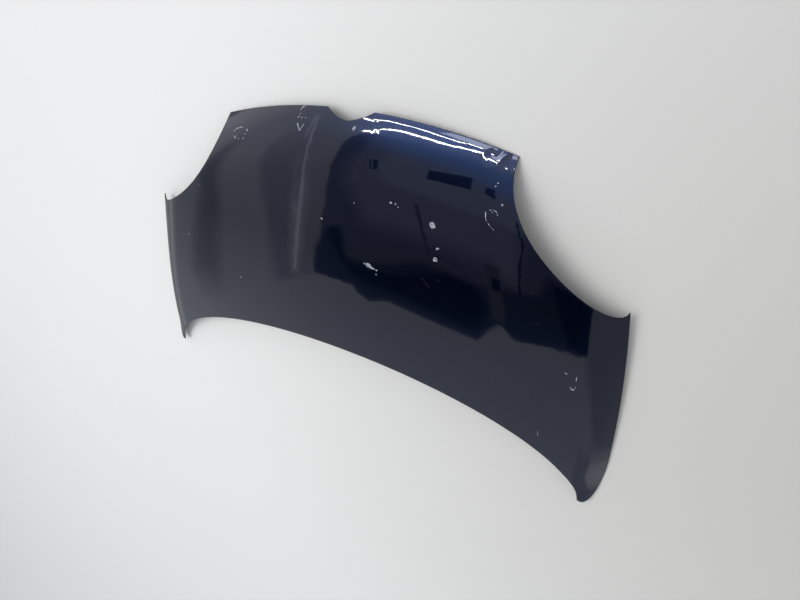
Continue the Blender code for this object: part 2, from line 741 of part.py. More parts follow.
def access_plugs(pads, frame, plastic):
    """Plastic blanking plug in the access hole of the rear channel, one each side."""
    r = PLUG_D / 2
    top = -FRAME_T - GAP
    inner = r - PLUG_WALL
    profile = [
        (0, top - 0.5 * PLUG_RIM_T), (0.55 * r, top - 0.5 * PLUG_RIM_T), (0.62 * r, top - 1.4 * PLUG_RIM_T),
        (r + 0.85 * PLUG_RIM, top - PLUG_RIM_T), (r + PLUG_RIM, top), (r - GAP, top), (r - GAP, GAP),
        (r + BARB, GAP + 0.75 * BARB), (r - 0.6 * PLUG_WALL, PLUG_TOP), (inner, PLUG_TOP),
        (inner, top + FRAME_T), (0, top + FRAME_T),
    ]
    for side in ("left", "right"):
        at = pads["plug_" + side]
        drill("plug_hole_" + side, frame, at, PLUG_D, count=16)
        placed("access_plug_" + side, turned(profile, 16), at, plastic)


def stay_socket(pads, frame, plastic):
    """Plastic socket in the right-hand rib, where the stay rod hooks in."""
    at = pads["stay_right"]
    drill("stay_hole", frame, at, STAY_D)
    top = -FRAME_T - GAP
    r = STAY_D / 2 - GAP
    rim, bore = STAY_RIM_D / 2, STAY_BORE / 2
    loops, points = [], []
    layers = (
        (rim, top), (rim, top - 0.7 * STAY_RIM_T), (0.74 * rim, top - STAY_RIM_T), (bore, top - STAY_RIM_T),
        (bore, STAY_TOP), (r - 0.75 * BARB, STAY_TOP), (r + BARB, GAP + 0.6 * BARB), (r, GAP), (r, top),
    )
    for radius, z in layers:
        run = circle(2 * radius, 12)
        loops.append(list(range(len(points), len(points) + 12)))
        points += [(x, y, z) for x, y in run]
    loops.append(loops[0])
    placed("stay_rod_socket", (points, loop_faces(loops)), at, plastic)


def tree_of(made):
    mesh = made.data
    return BVHTree.FromPolygons([v.co for v in mesh.vertices], [p.vertices for p in mesh.polygons])


def mastic_pads(plan, skin, frame, mastic, count=8):
    """Soft pads that hold the skin off the raised fields of the frame, round the openings."""
    skin_tree, frame_tree = tree_of(skin), tree_of(frame)
    spots = []
    for (c0, c1, r0, r1), (f0, f1, g0, g1) in zip(OPENINGS, FIELDS):
        middle_c, middle_r = (c0 + c1) / 2, (r0 + r1) / 2
        spots.append((middle_c, MASTIC_IN * r0 + (1 - MASTIC_IN) * g0))
        spots.append((middle_c, MASTIC_IN * r1 + (1 - MASTIC_IN) * g1))
        if c0 > 0:
            spots.append((MASTIC_IN * c1 + (1 - MASTIC_IN) * f1, middle_r))
    places = []
    for c, r in spots:
        places.append((c, r))
        if c > 0.5:
            places.append((-c, r))
    for n, (c, r) in enumerate(places):
        x, y = plan.at(np.array([c]), np.array([r]))[0]
        rim = circle(MASTIC_D, count, (x, y)).tolist() + [(x, y)]
        top, low = [], []
        for px, py in rim:
            up = frame_tree.ray_cast(Vector((px, py, RAY_REACH)), Vector((0, 0, -1)))[0]
            down = skin_tree.ray_cast(Vector((px, py, -RAY_REACH)), Vector((0, 0, 1)))[0]
            low.append((px, py, up.z + MASTIC_GAP))
            top.append((px, py, down.z - MASTIC_GAP))
        lower = count + 1
        faces = [(k, (k + 1) % count, count) for k in range(count)]
        faces += [(lower + (k + 1) % count, lower + k, lower + count) for k in range(count)]
        faces += [(k, lower + k, lower + (k + 1) % count, (k + 1) % count) for k in range(count)]
        new_object(f"mastic_pad_{n + 1:02d}", top + low, faces, mastic)


def centre_over_origin():
    """Moves everything so that the panel stands on z = 0 with its box centred over the origin."""
    bpy.context.view_layer.update()
    corners = np.vstack([
        np.array([v.co[:] for v in o.data.vertices])
        for o in bpy.data.objects if o.type == "MESH" and not o.hide_render
    ])
    low, high = corners.min(0), corners.max(0)
    move = Matrix.Translation((-(low[0] + high[0]) / 2, -(low[1] + high[1]) / 2, -low[2]))
    for made in bpy.data.objects:
        made.data.transform(move)


def main():
    for old in list(bpy.data.objects):
        bpy.data.objects.remove(old)
    paint = material("body_paint", (0.010, 0.014, 0.035), 0.3, 0.25, 1.0)
    inner_paint = material("inner_paint", (0.010, 0.013, 0.028), 0.1, 0.4, 0.3)
    coat = material("primer", (0.05, 0.055, 0.06), 0.0, 0.6)
    zinc = material("zinc_plate", (0.55, 0.52, 0.42), 1.0, 0.4)
    rubber = material("rubber", (0.015, 0.015, 0.015), 0.0, 0.8)
    plastic = material("black_plastic", (0.02, 0.02, 0.022), 0.0, 0.5)
    mastic = material("mastic", (0.12, 0.11, 0.10), 0.0, 0.9)
    plan = Plan()
    skin = outer_skin(plan, paint)
    frame, pads = inner_frame(plan, inner_paint)
    mastic_pads(plan, skin, frame, mastic)
    cut_openings(plan, frame)
    hinge_fixings(plan, pads, frame, coat, zinc)
    striker(pads, frame, coat, zinc)
    bump_stops(pads, frame, rubber)
    access_plugs(pads, frame, plastic)
    stay_socket(pads, frame, plastic)
    centre_over_origin()


main()
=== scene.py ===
"""Looks of a dark blue car bonnet lying painted face up: fine pressed sheets, paint, wear and fittings.

Metres, in the part's frame: +X the car's right-hand side, +Y the nose, +Z up out of the painted face.
The outline is drawn flat with y = 0 at the rear tips, and Geometry Nodes press the blanks to the crown.
"""
import math
import operator

import bmesh
import bpy
import numpy as np
from mathutils import Matrix, Vector
from mathutils.bvhtree import BVHTree
from mathutils.geometry import delaunay_2d_cdt


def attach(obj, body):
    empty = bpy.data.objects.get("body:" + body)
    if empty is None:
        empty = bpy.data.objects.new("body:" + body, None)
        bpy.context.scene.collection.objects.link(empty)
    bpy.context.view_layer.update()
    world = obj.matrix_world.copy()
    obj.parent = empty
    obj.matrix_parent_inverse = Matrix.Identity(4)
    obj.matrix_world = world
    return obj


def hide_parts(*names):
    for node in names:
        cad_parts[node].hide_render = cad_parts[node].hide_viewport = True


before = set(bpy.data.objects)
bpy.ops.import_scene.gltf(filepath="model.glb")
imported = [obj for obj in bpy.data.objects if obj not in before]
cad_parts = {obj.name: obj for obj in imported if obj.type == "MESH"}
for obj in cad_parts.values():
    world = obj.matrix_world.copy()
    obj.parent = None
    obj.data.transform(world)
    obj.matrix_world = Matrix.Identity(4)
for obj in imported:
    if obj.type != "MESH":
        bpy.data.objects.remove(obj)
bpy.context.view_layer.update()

# Outline of the flat blank, right-hand half
HALF_WIDTH = 0.7066
WIDEST_Y = 0.1313
TAIL_SWEEP = 0.036
SIDE_TIP_Y = 0.4992
SIDE_PULL_IN = 0.0288
TAIL_FLAT = 0.0091
REAR_HALF_WIDTH = HALF_WIDTH - TAIL_SWEEP - TAIL_FLAT
REAR_RISE = 0.2242
TAIL_ROUND = 0.006
NOSE_Y = 0.8131
CORNER_X = 0.4011
NOSE_SWEEP = 0.0519
CORNER_HANDLE = (-0.0063, -0.1659)
TIP_HANDLE = (-0.0069, -0.059)
NOTCH_HALF_WIDTH = 0.0648
NOTCH_DEPTH = 0.0226
NOTCH_POWER = 1.66

# Sizes of the crown, as named inputs of the pressing tree
CROWN_SIZES = {
    "Half width": HALF_WIDTH, "Widest place": WIDEST_Y, "Tail sweep": TAIL_SWEEP,
    "Side tip place": SIDE_TIP_Y, "Side pull in": SIDE_PULL_IN,
    "Nose place": NOSE_Y, "Nose sweep": NOSE_SWEEP, "Nose corner": CORNER_X,
    "Crown height": 0.0983, "Crown place": 0.3404, "Crown fall": 0.0323,
    "Lip drop": 0.0427, "Lip reach": 0.1546, "Cross fall": 0.0475, "Cross fall at nose": 0.0231,
    "Roll reach": 0.0964, "Roll power": 2.2, "Side edge height": 0.0014, "Side low place": 0.083,
    "Side tip rise": 0.0205, "Tail lift": 0.0138, "Notch half width": NOTCH_HALF_WIDTH,
    "Crease drift": 0.0405, "Crease settle": 0.075, "Crease step": 0.0002,
    "Crease half width": 0.009, "Crease fade start": 0.05, "Crease fade length": 0.3,
}
SHIFT = Vector((0.0, -0.40573, 0.00125))

# Half the run over which the slope of the painted face is measured
SLOPE_REACH = 0.0008

# Sheets and hem
SKIN_T = 0.00075
FRAME_T = 0.0007
GAP = 0.0003
HEM_WIDTH = 0.011
HEM_T = 2 * SKIN_T + FRAME_T + 2 * GAP
SLOT_ROOT = 0.0019
FRAME_EDGE = 0.0023
CHANNEL_DEPTH = 0.024
FIELD_DEPTH = 0.0050
WALL_RISE = 0.9
FLANGE_END = 0.012
FRAME_RING = 0.006
HEM_RINGS = (0.0075, 0.0045, 0.0026)
HEM_END_ROUND = 0.0003
SEALANT_AWAY = 0.0009
SEALANT_SUNK = 0.0008
SOFTENING_PASSES = 3
SHARP_ANGLE = 40.0
CUTTER_RANGE = (-0.1, 0.3)

# Columns and rows of the blanks, as in the stamped panel, and how finely each sheet splits them
NOTCH_SHARES = (0.0, 0.34, 0.64, 0.86, 1.0)
NOSE_SHARES = (0.035, 0.10, 0.20, 0.262, 0.43, 0.61, 0.80, 0.88, 1.0)
CUT_SHARES = (0.10, 0.17, 0.27, 0.38, 0.50, 0.62, 0.71, 0.80, 0.90, 1.0)
REAR_SHARES = (0, 0.040, 0.087, 0.127, 0.141, 0.155, 0.188, 0.228, 0.262, 0.336, 0.410, 0.478, 0.505,
               0.552, 0.594, 0.628, 0.677, 0.727, 0.779, 0.828, 0.868, 0.905, 0.95, 1.0)
ROW_SHARES = (0, 0.028, 0.07, 0.115, 0.165, 0.215, 0.275, 0.335, 0.40, 0.47, 0.54, 0.61, 0.68, 0.75,
              0.81, 0.865, 0.915, 0.96, 1.0)
CREASE_COLUMN = 4
CREASE_FREE = 9
SKIN_COLUMN_SPLITS = (4, 4, 4, 4, 4, 4, 6, 4, 8, 10, 14, 10, 14, 10, 6, 6, 6, 5, 5, 5, 5, 5, 5)
SKIN_ROW_SPLITS = (6, 5, 5, 5, 5, 4, 4, 4, 4, 4, 4, 4, 4, 6, 9, 14, 14, 14)
FRAME_SPLITS = ((4,) * 23, (4,) * 18)
FIELDS = ((-5, 5, 5, 12), (8, 11, 5, 13), (15, 19, 8, 12))
OPENINGS = ((-3.7, 3.7, 5.45, 11.6), (8.3, 10.7, 5.45, 12.6), (15.45, 18.5, 8.5, 11.5))
OPENING_POWER = 4.0
TOOLING_HOLES = (
    (6.6, 4.0, 0.010), (13.0, 3.6, 0.012), (6.4, 12.8, 0.008), (13.2, 8.2, 0.010), (11.9, 10.6, 0.008),
    (19.6, 6.3, 0.008), (2.4, 13.4, 0.008),
)
HOLE_SIDES = 32
PADS = {"hinge": (16, 18, 2, 5), "striker": (-2, 2, 14, 16), "stop": (10, 11, 14, 16),
        "plug": (9, 10, 2, 4), "stay": (6, 7, 8, 10)}

# Camera: where the photograph was taken from, in the part's frame
CAMERA_PLACE = Vector((0.77861, 0.55941, 1.13705))
CAMERA_RIGHT = Vector((0.85912, 0.05633, -0.50907))
CAMERA_AHEAD = Vector((-0.44251, -0.41698, -0.79333))
CAMERA_UP = CAMERA_RIGHT.cross(CAMERA_AHEAD)
FOCAL_PIXELS = 571.0
IMAGE_WIDTH = 800.0
IMAGE_HEIGHT = 600.0
SENSOR_WIDTH = 36.0


class Value:
    """A number in a node tree, so that a rule can be written as ordinary arithmetic."""

    def __init__(self, tree, socket):
        self.tree = tree
        self.socket = socket

    def do(self, operation, *others, swap=False):
        node = self.tree.nodes.new("ShaderNodeMath")
        node.operation = operation
        terms = (*others, self) if swap else (self, *others)
        for slot, term in enumerate(terms):
            put(self.tree, node.inputs[slot], term)
        return Value(self.tree, node.outputs[0])

    def __add__(self, other):
        return self.do("ADD", other)

    def __sub__(self, other):
        return self.do("SUBTRACT", other)

    def __rsub__(self, other):
        return self.do("SUBTRACT", other, swap=True)

    def __mul__(self, other):
        return self.do("MULTIPLY", other)

    def __truediv__(self, other):
        return self.do("DIVIDE", other)

    def __pow__(self, other):
        return self.do("POWER", other)

    def most(self, other):
        return self.do("MAXIMUM", other)

    def least(self, other):
        return self.do("MINIMUM", other)

    def between(self, low, high):
        return self.most(low).least(high)

    def size(self):
        return self.do("ABSOLUTE")

    def eased(self):
        """0 to 1 with soft ends."""
        t = self.between(0.0, 1.0)
        return t * t * (3.0 - t * 2.0)

    def over(self, start, end):
        """How far the value has come from start to end, with soft ends."""
        return ((self - start) / (end - start)).eased()


def put(tree, socket, value):
    if isinstance(value, Value):
        tree.links.new(value.socket, socket)
    elif isinstance(value, bpy.types.NodeSocket):
        tree.links.new(value, socket)
    else:
        socket.default_value = value


class Known(Value):
    """A plain number with the arithmetic of a node value, to work out a rule of the trees in the script."""

    STEPS = {
        "ADD": operator.add, "SUBTRACT": operator.sub, "MULTIPLY": operator.mul, "DIVIDE": operator.truediv,
        "POWER": operator.pow, "MAXIMUM": max, "MINIMUM": min, "ABSOLUTE": abs, "SQRT": math.sqrt,
        "EXPONENT": math.exp,
    }

    def __init__(self, number):
        self.number = number

    def __float__(self):
        return float(self.number)

    def do(self, operation, *others, swap=False):
        terms = (*others, self) if swap else (self, *others)
        return Known(self.STEPS[operation](*[float(term) for term in terms]))


def node(tree, kind, inputs=(), **settings):
    """A new node with its settings and its inputs, given by name or number."""
    made = tree.nodes.new(kind)
    for key, value in settings.items():
        setattr(made, key, value)
    for key, value in dict(inputs).items():
        put(tree, made.inputs[key], value)
    return made


# Flat outline of the panel


def side_x(y):
    tail = np.clip((WIDEST_Y - y) / WIDEST_Y, 0, 1)
    behind = HALF_WIDTH - TAIL_SWEEP * (1 - np.sqrt(1 - tail**2))
    ahead = HALF_WIDTH - SIDE_PULL_IN * ((y - WIDEST_Y) / (SIDE_TIP_Y - WIDEST_Y)) ** 2
    return np.where(y > WIDEST_Y, ahead, behind)


def nose_y(x):
    return NOSE_Y - NOSE_SWEEP * (np.asarray(x, float) / CORNER_X) ** 2


def crease_x(back):
    drift = CROWN_SIZES["Crease drift"]
    return NOTCH_HALF_WIDTH + drift * (1 - np.exp(-np.clip(back, 0, None) / CROWN_SIZES["Crease settle"]))


def ease(t):
    t = np.clip(t, 0, 1)
    return t * t * (3 - 2 * t)


def outline():
    """The five edges of the right half in order round it, each as a fine run of points."""
    a = np.linspace(0, math.pi / 2, 400)
    rear = np.stack([REAR_HALF_WIDTH * np.sin(a), REAR_RISE * np.cos(a)], 1)
    side_y = SIDE_TIP_Y * np.linspace(0, 1, 400) ** 2
    side = np.stack([side_x(side_y), side_y], 1)
    t = np.linspace(0, 1, 300)[:, None]
    tip = side[-1]
    corner = np.array([CORNER_X, float(nose_y(CORNER_X))])
    cut = (1 - t) ** 3 * tip + 3 * (1 - t) ** 2 * t * (tip + np.array(TIP_HANDLE))
    cut = cut + 3 * (1 - t) * t**2 * (corner + np.array(CORNER_HANDLE)) + t**3 * corner
    nose_x = np.linspace(CORNER_X, NOTCH_HALF_WIDTH, 200)
    nose = np.stack([nose_x, nose_y(nose_x)], 1)
    notch_x = np.linspace(NOTCH_HALF_WIDTH, 0, 150)
    hollow = NOTCH_DEPTH * (1 - (notch_x / NOTCH_HALF_WIDTH) ** NOTCH_POWER)
    notch = np.stack([notch_x, nose_y(NOTCH_HALF_WIDTH) - hollow], 1)
    return [rear, side, cut, nose, notch]


def rounded_tail(edges):
    """Takes the square corner off the tail, where the windscreen edge meets the side edge."""
    rear, side = edges[0], edges[1]
    r = min(TAIL_ROUND, TAIL_FLAT * 0.9)
    a = np.linspace(0, math.pi / 2, 30)
    arc = np.stack([REAR_HALF_WIDTH + r * (1 - np.cos(a)), r * (1 - np.sin(a))], 1)
    return [np.vstack([rear[rear[:, 1] > r], arc]), np.vstack([arc[-1:], side])] + edges[2:]


def shifted(run, inward):
    step = np.gradient(run, axis=0)
    step = step / np.linalg.norm(step, axis=1, keepdims=True)
    return run + inward * np.stack([-step[:, 1], step[:, 0]], 1)


def trimmed(first, second):
    """Cuts two runs back to the point where they cross."""
    p, r = first[:-1, None], np.diff(first, axis=0)[:, None]
    q, s = second[None, :-1], np.diff(second, axis=0)[None]
    cross = r[..., 0] * s[..., 1] - r[..., 1] * s[..., 0]
    cross = np.where(np.abs(cross) < 1e-15, 1e-15, cross)
    d = q - p
    t = (d[..., 0] * s[..., 1] - d[..., 1] * s[..., 0]) / cross
    u = (d[..., 0] * r[..., 1] - d[..., 1] * r[..., 0]) / cross
    hit = np.argwhere((t >= 0) & (t <= 1) & (u >= 0) & (u <= 1))
    if len(hit) == 0:
        return first, second
    i, j = hit[-1]
    at = first[i] + t[i, j] * (first[i + 1] - first[i])
    return np.vstack([first[: i + 1], at]), np.vstack([at, second[j + 1:]])


def inset_edges(edges, inward):
    runs = [shifted(run, inward) for run in edges]
    for k in range(len(runs) - 1):
        runs[k], runs[k + 1] = trimmed(runs[k], runs[k + 1])
    return runs


def along(run, shares):
    length = np.concatenate([[0], np.cumsum(np.linalg.norm(np.diff(run, axis=0), axis=1))])
    where = np.asarray(shares, float) * length[-1]
    return np.stack([np.interp(where, length, run[:, k]) for k in (0, 1)], 1)


def fine_stations(splits):
    """Where the fine columns or rows lie, counted in those of the stamped panel."""
    return np.concatenate([[0.0], *[k + np.arange(1, n + 1) / n for k, n in enumerate(splits)]])


def shares_at(shares, places, first):
    return np.interp(places - first, np.arange(len(shares)), shares)


def stations(edges, columns, rows):
    """Rear, side and nose edges of the right half at the blank's columns and rows, from the centre out."""
    rear, side, cut, nose, notch = edges
    nose_start = len(NOTCH_SHARES) - 1
    cut_start = nose_start + len(NOSE_SHARES)
    on_notch = columns <= nose_start
    on_nose = (columns > nose_start) & (columns <= cut_start)
    front = np.vstack([
        along(notch[::-1], shares_at(NOTCH_SHARES, columns[on_notch], 0)),
        along(nose[::-1], shares_at((0.0, *NOSE_SHARES), columns[on_nose], nose_start)),
        along(cut[::-1], shares_at((0.0, *CUT_SHARES), columns[columns > cut_start], cut_start)),
    ])
    return along(rear, shares_at(REAR_SHARES, columns, 0)), along(side, shares_at(ROW_SHARES, rows, 0)), front


def half_grid(rear, side, front, columns, rows):
    """Fills the right half between its edges; columns near the crease follow it."""
    u = 0.5 * (rear[:, 0] / rear[-1, 0] + front[:, 0] / front[-1, 0])[:, None, None]
    v = shares_at(ROW_SHARES, rows, 0)[None, :, None]
    middle = (1 - v) * rear[0] + v * front[0]
    lines = (1 - v) * rear[:, None] + v * front[:, None]
    across = (1 - u) * middle + u * side[None]
    corners = (1 - u) * middle + u * ((1 - v) * rear[-1] + v * front[-1])
    grid = lines + across - corners
    crease = int(np.searchsorted(columns, CREASE_COLUMN))
    share = np.interp(columns, (0, CREASE_COLUMN, CREASE_FREE), (0, 1, 0))
    start, length = CROWN_SIZES["Crease fade start"], CROWN_SIZES["Crease fade length"]
    for j in range(1, len(side) - 1):
        back = nose_y(grid[crease, j, 0]) - grid[crease, j, 1]
        pull = crease_x(back) - grid[crease, j, 0]
        grid[:, j, 0] += share * pull * (1 - ease((back - start) / length))
    return grid


def mirrored(half):
    """Both halves of a run of columns, the centre line once."""
    left = half[:0:-1].copy()
    left[..., 0] *= -1
    return np.concatenate([left, half])


class Blank:
    """Flat sheet: a grid inside the hem line, the ring round it and the matching points of the cut edge."""

    def __init__(self, column_splits, row_splits):
        edges = outline()
        rounded = rounded_tail(edges)
        columns, rows = fine_stations(column_splits), fine_stations(row_splits)
        rear, side, front = stations(rounded, columns, rows)
        in_rear, in_side, in_front = stations(inset_edges(edges, HEM_WIDTH), columns, rows)
        self.grid = mirrored(half_grid(in_rear, in_side, in_front, columns, rows))
        self.column_places, self.row_places = mirrored(columns[:, None])[:, 0], rows
        self.columns, self.rows = self.grid.shape[:2]
        self.centre = self.columns // 2
        c, r = self.columns - 1, self.rows - 1
        self.ring = [(i, 0) for i in range(c)] + [(c, j) for j in range(r)]
        self.ring += [(i, r) for i in range(c, 0, -1)] + [(0, j) for j in range(r, 0, -1)]
        full_rear, full_front, left = mirrored(rear), mirrored(front), side * np.array([-1, 1])
        edge = [full_rear[i] for i in range(c)] + [side[j] for j in range(r)]
        edge += [full_front[i] for i in range(c, 0, -1)] + [left[j] for j in range(r, 0, -1)]
        self.edge = np.array(edge)
        inside = np.array([self.grid[i, j] for i, j in self.ring])
        self.inward = inside - self.edge
        self.inward = self.inward / np.linalg.norm(self.inward, axis=1, keepdims=True)
        self.inside = inside
        whole = np.vstack(rounded)
        self.fence = np.vstack([whole, whole * np.array([-1, 1])])

    def at(self, column, row):
        """Flat place at a column, counted from the centre line, and a row of the stamped panel."""
        i = np.interp(np.asarray(column, float), self.column_places, np.arange(self.columns))
        j = np.interp(np.asarray(row, float), self.row_places, np.arange(self.rows))
        i, j = np.minimum(i, self.columns - 1.001), np.minimum(j, self.rows - 1.001)
        a, b = i.astype(int), j.astype(int)
        f, g = (i - a)[..., None], (j - b)[..., None]
        lower = self.grid[a, b] * (1 - f) + self.grid[a + 1, b] * f
        upper = self.grid[a, b + 1] * (1 - f) + self.grid[a + 1, b + 1] * f
        return lower * (1 - g) + upper * g

    def loop(self, inset):
        """Closed run of flat places at a distance in from the cut edge; the hem line where it is None."""
        return self.inside if inset is None else self.edge + self.inward * inset

    def grid_faces(self, base, flip):
        faces = []
        for i in range(self.columns - 1):
            for j in range(self.rows - 1):
                a = base + i * self.rows + j
                face = (a, a + self.rows, a + self.rows + 1, a + 1)
                faces.append(face[::-1] if flip else face)
        return faces

    def ring_at(self, base):
        return [base + i * self.rows + j for i, j in self.ring]


def joined_loops(loops):
    faces = []
    count = len(loops[0])
    for first, second in zip(loops[:-1], loops[1:]):
        for k in range(count):
            n = (k + 1) % count
            faces.append((first[k], first[n], second[n], second[k]))
    return faces


def blank_mesh(name, layers, faces, outside=0):
    """Flat mesh whose points carry the depth below the painted face; the first faces are marked outside."""
    mesh = bpy.data.meshes.new(name)
    plan = np.vstack([places for places, depth in layers])
    depth = np.concatenate([np.broadcast_to(depth, len(places)) for places, depth in layers])
    mesh.from_pydata([(float(x), float(y), 0.0) for x, y in plan], [], faces)
    mesh.attributes.new("depth", "FLOAT", "POINT").data.foreach_set("value", depth.astype(np.float32))
    marks = np.arange(len(faces)) < outside
    mesh.attributes.new("outside", "BOOLEAN", "FACE").data.foreach_set("value", marks)
    return mesh


# Geometry Nodes


def new_tree(name, inputs):
    """A Geometry Nodes tree with a geometry input and output and the named inputs, and their values."""
    tree = bpy.data.node_groups.new(name, "GeometryNodeTree")
    tree.interface.new_socket("Geometry", in_out="INPUT", socket_type="NodeSocketGeometry")
    tree.interface.new_socket("Geometry", in_out="OUTPUT", socket_type="NodeSocketGeometry")
    for label, value in inputs.items():
        kind = "Material" if isinstance(value, bpy.types.Material) else type(value).__name__.title()
        tree.interface.new_socket(label, in_out="INPUT", socket_type="NodeSocket" + kind)
    source = tree.nodes.new("NodeGroupInput")
    values = {label: Value(tree, source.outputs[label]) for label in ("Geometry", *inputs)}
    return tree, values


def finish_tree(tree, geometry, material):
    """Ends a tree in Realize Instances and Set Material."""
    real = node(tree, "GeometryNodeRealizeInstances", {"Geometry": geometry})
    painted = node(tree, "GeometryNodeSetMaterial", {"Geometry": real.outputs[0], "Material": material})
    out = tree.nodes.new("NodeGroupOutput")
    tree.links.new(painted.outputs[0], out.inputs["Geometry"])
    return painted, out


def new_piece(name, mesh):
    made = bpy.data.objects.new(name, mesh)
    bpy.context.scene.collection.objects.link(made)
    return made


def make_plain(piece):
    """Gives a piece the plain mesh that its modifiers make, and removes them."""
    bpy.context.view_layer.update()
    result = piece.evaluated_get(bpy.context.evaluated_depsgraph_get())
    plain = bpy.data.meshes.new_from_object(result)
    piece.modifiers.clear()
    piece.data = plain


def grown(name, mesh, tree, inputs):
    """Runs a mesh through a tree and returns the result as a piece with a plain mesh."""
    piece = new_piece(name, mesh)
    modifier = piece.modifiers.new("shape", "NODES")
    modifier.node_group = tree
    for item in tree.interface.items_tree:
        if item.in_out == "INPUT" and item.name in inputs:
            modifier[item.identifier] = inputs[item.name]
    make_plain(piece)
    piece.data.name = name
    bpy.data.meshes.remove(mesh)
    return piece


def face_height(size, x, y):
    """Height of the painted face: crown front to back and across, rolled lip, rolled sides and creases."""
    x = x.size()
    edge_y = y.most(0.0)
    tail = ((size["Widest place"] - edge_y) / size["Widest place"]).between(0.0, 1.0)
    ahead = (edge_y - size["Widest place"]).most(0.0) / (size["Side tip place"] - size["Widest place"])
    edge = size["Half width"] - size["Tail sweep"] * (1.0 - (1.0 - tail * tail).do("SQRT"))
    edge = edge - size["Side pull in"] * ahead * ahead

    def longways(across):
        share = across / size["Nose corner"]
        back = size["Nose place"] - size["Nose sweep"] * share * share - y
        lip = size["Lip drop"] * (1.0 - back / size["Lip reach"]).most(0.0) ** size["Roll power"]
        away = back / size["Crown place"] - 1.0
        front = edge_y / size["Nose place"]
        fall = size["Cross fall"] + size["Cross fall at nose"] * front * front
        wide = across / size["Half width"]
        return size["Crown height"] - size["Crown fall"] * away * away - lip - fall * wide * wide, back

    height, back = longways(x)
    climb = size["Side tip rise"] / (size["Side tip place"] - size["Side low place"])
    low = (size["Side low place"] - y).most(0.0) / size["Side low place"]
    edge_z = size["Side edge height"] + climb * (y - size["Side low place"]).most(0.0)
    edge_z = edge_z + size["Tail lift"] * low * low
    near_edge = (1.0 - (edge - x) / size["Roll reach"]).between(0.0, 1.2)
    roll = (longways(edge)[0] - edge_z) * near_edge ** size["Roll power"]
    settled = 1.0 - (back.most(0.0) / size["Crease settle"] * -1.0).do("EXPONENT")
    crease = size["Notch half width"] + size["Crease drift"] * settled
    step = ((crease + size["Crease half width"] - x) / (size["Crease half width"] * 2.0)).eased()
    fade = 1.0 - ((back - size["Crease fade start"]) / size["Crease fade length"]).eased()
    return height - roll + size["Crease step"] * fade * (step - 0.5)


def pressed(tree, size, geometry):
    """Adds the press to a tree: each flat point goes to its depth below the painted face, square to it."""
    reach = SLOPE_REACH
    place = node(tree, "GeometryNodeInputPosition")
    flat = node(tree, "ShaderNodeSeparateXYZ", {0: place.outputs[0]})
    x, y = Value(tree, flat.outputs[0]), Value(tree, flat.outputs[1])
    slope_x = (face_height(size, x + reach, y) - face_height(size, x - reach, y)) / (-2 * reach)
    slope_y = (face_height(size, x, y + reach) - face_height(size, x, y - reach)) / (-2 * reach)
    lean = node(tree, "ShaderNodeCombineXYZ", {0: slope_x, 1: slope_y, 2: 1.0})
    square = node(tree, "ShaderNodeVectorMath", {0: lean.outputs[0]}, operation="NORMALIZE")
    depth = node(tree, "GeometryNodeInputNamedAttribute", {"Name": "depth"}, data_type="FLOAT")
    down = node(
        tree, "ShaderNodeVectorMath", {0: square.outputs[0], "Scale": depth.outputs[0]}, operation="SCALE")
    top = node(tree, "ShaderNodeCombineXYZ", {0: x, 1: y, 2: face_height(size, x, y)})
    point = node(tree, "ShaderNodeVectorMath", {0: top.outputs[0], 1: down.outputs[0]}, operation="SUBTRACT")
    settled = node(tree, "ShaderNodeVectorMath", {0: point.outputs[0], 1: SHIFT}, operation="ADD")
    moved = node(tree, "GeometryNodeSetPosition", {"Geometry": geometry, "Position": settled.outputs[0]})
    return moved.outputs[0]


def press_tree(outer, inner):
    """Presses a flat blank to the crown; its outside faces get the first material and the rest the second."""
    inputs = {**CROWN_SIZES, "Outer finish": outer, "Inner finish": inner}
    tree, size = new_tree("Press a blank to the crown", inputs)
    shaped = pressed(tree, size, size["Geometry"])
    painted, out = finish_tree(tree, shaped, size["Inner finish"])
    outside = node(tree, "GeometryNodeInputNamedAttribute", {"Name": "outside"}, data_type="BOOLEAN")
    coated = node(tree, "GeometryNodeSetMaterial", {
        "Geometry": painted.outputs[0], "Selection": outside.outputs[0], "Material": size["Outer finish"]})
    tree.links.new(coated.outputs[0], out.inputs["Geometry"])
    return tree, inputs


def bead_tree(material):
    """Presses a run of points to the crown and lays a bead of uneven thickness along it."""
    inputs = {
        **CROWN_SIZES, "Bead radius": 0.0015, "Unevenness": 0.35, "Lumps per metre": 85.0, "Finish": material}
    tree, size = new_tree("Lay a sealant bead", inputs)
    run = node(tree, "GeometryNodeMeshToCurve", {"Mesh": pressed(tree, size, size["Geometry"])})
    place = node(tree, "GeometryNodeInputPosition").outputs[0]
    lumps = node(tree, "ShaderNodeTexNoise", {"Vector": place, "Scale": size["Lumps per metre"]})
    swell = (Value(tree, lumps.outputs[0]) - 0.5) * 2.0 * size["Unevenness"] + 1.0
    thick = node(tree, "GeometryNodeSetCurveRadius", {"Curve": run.outputs[0], "Radius": swell})
    ring = node(tree, "GeometryNodeCurvePrimitiveCircle", {"Resolution": 8, "Radius": size["Bead radius"]})
    swept = node(tree, "GeometryNodeCurveToMesh", {
        "Curve": thick.outputs[0], "Profile Curve": ring.outputs[0], "Scale": swell})
    finish_tree(tree, swept.outputs[0], size["Finish"])
    return tree, inputs


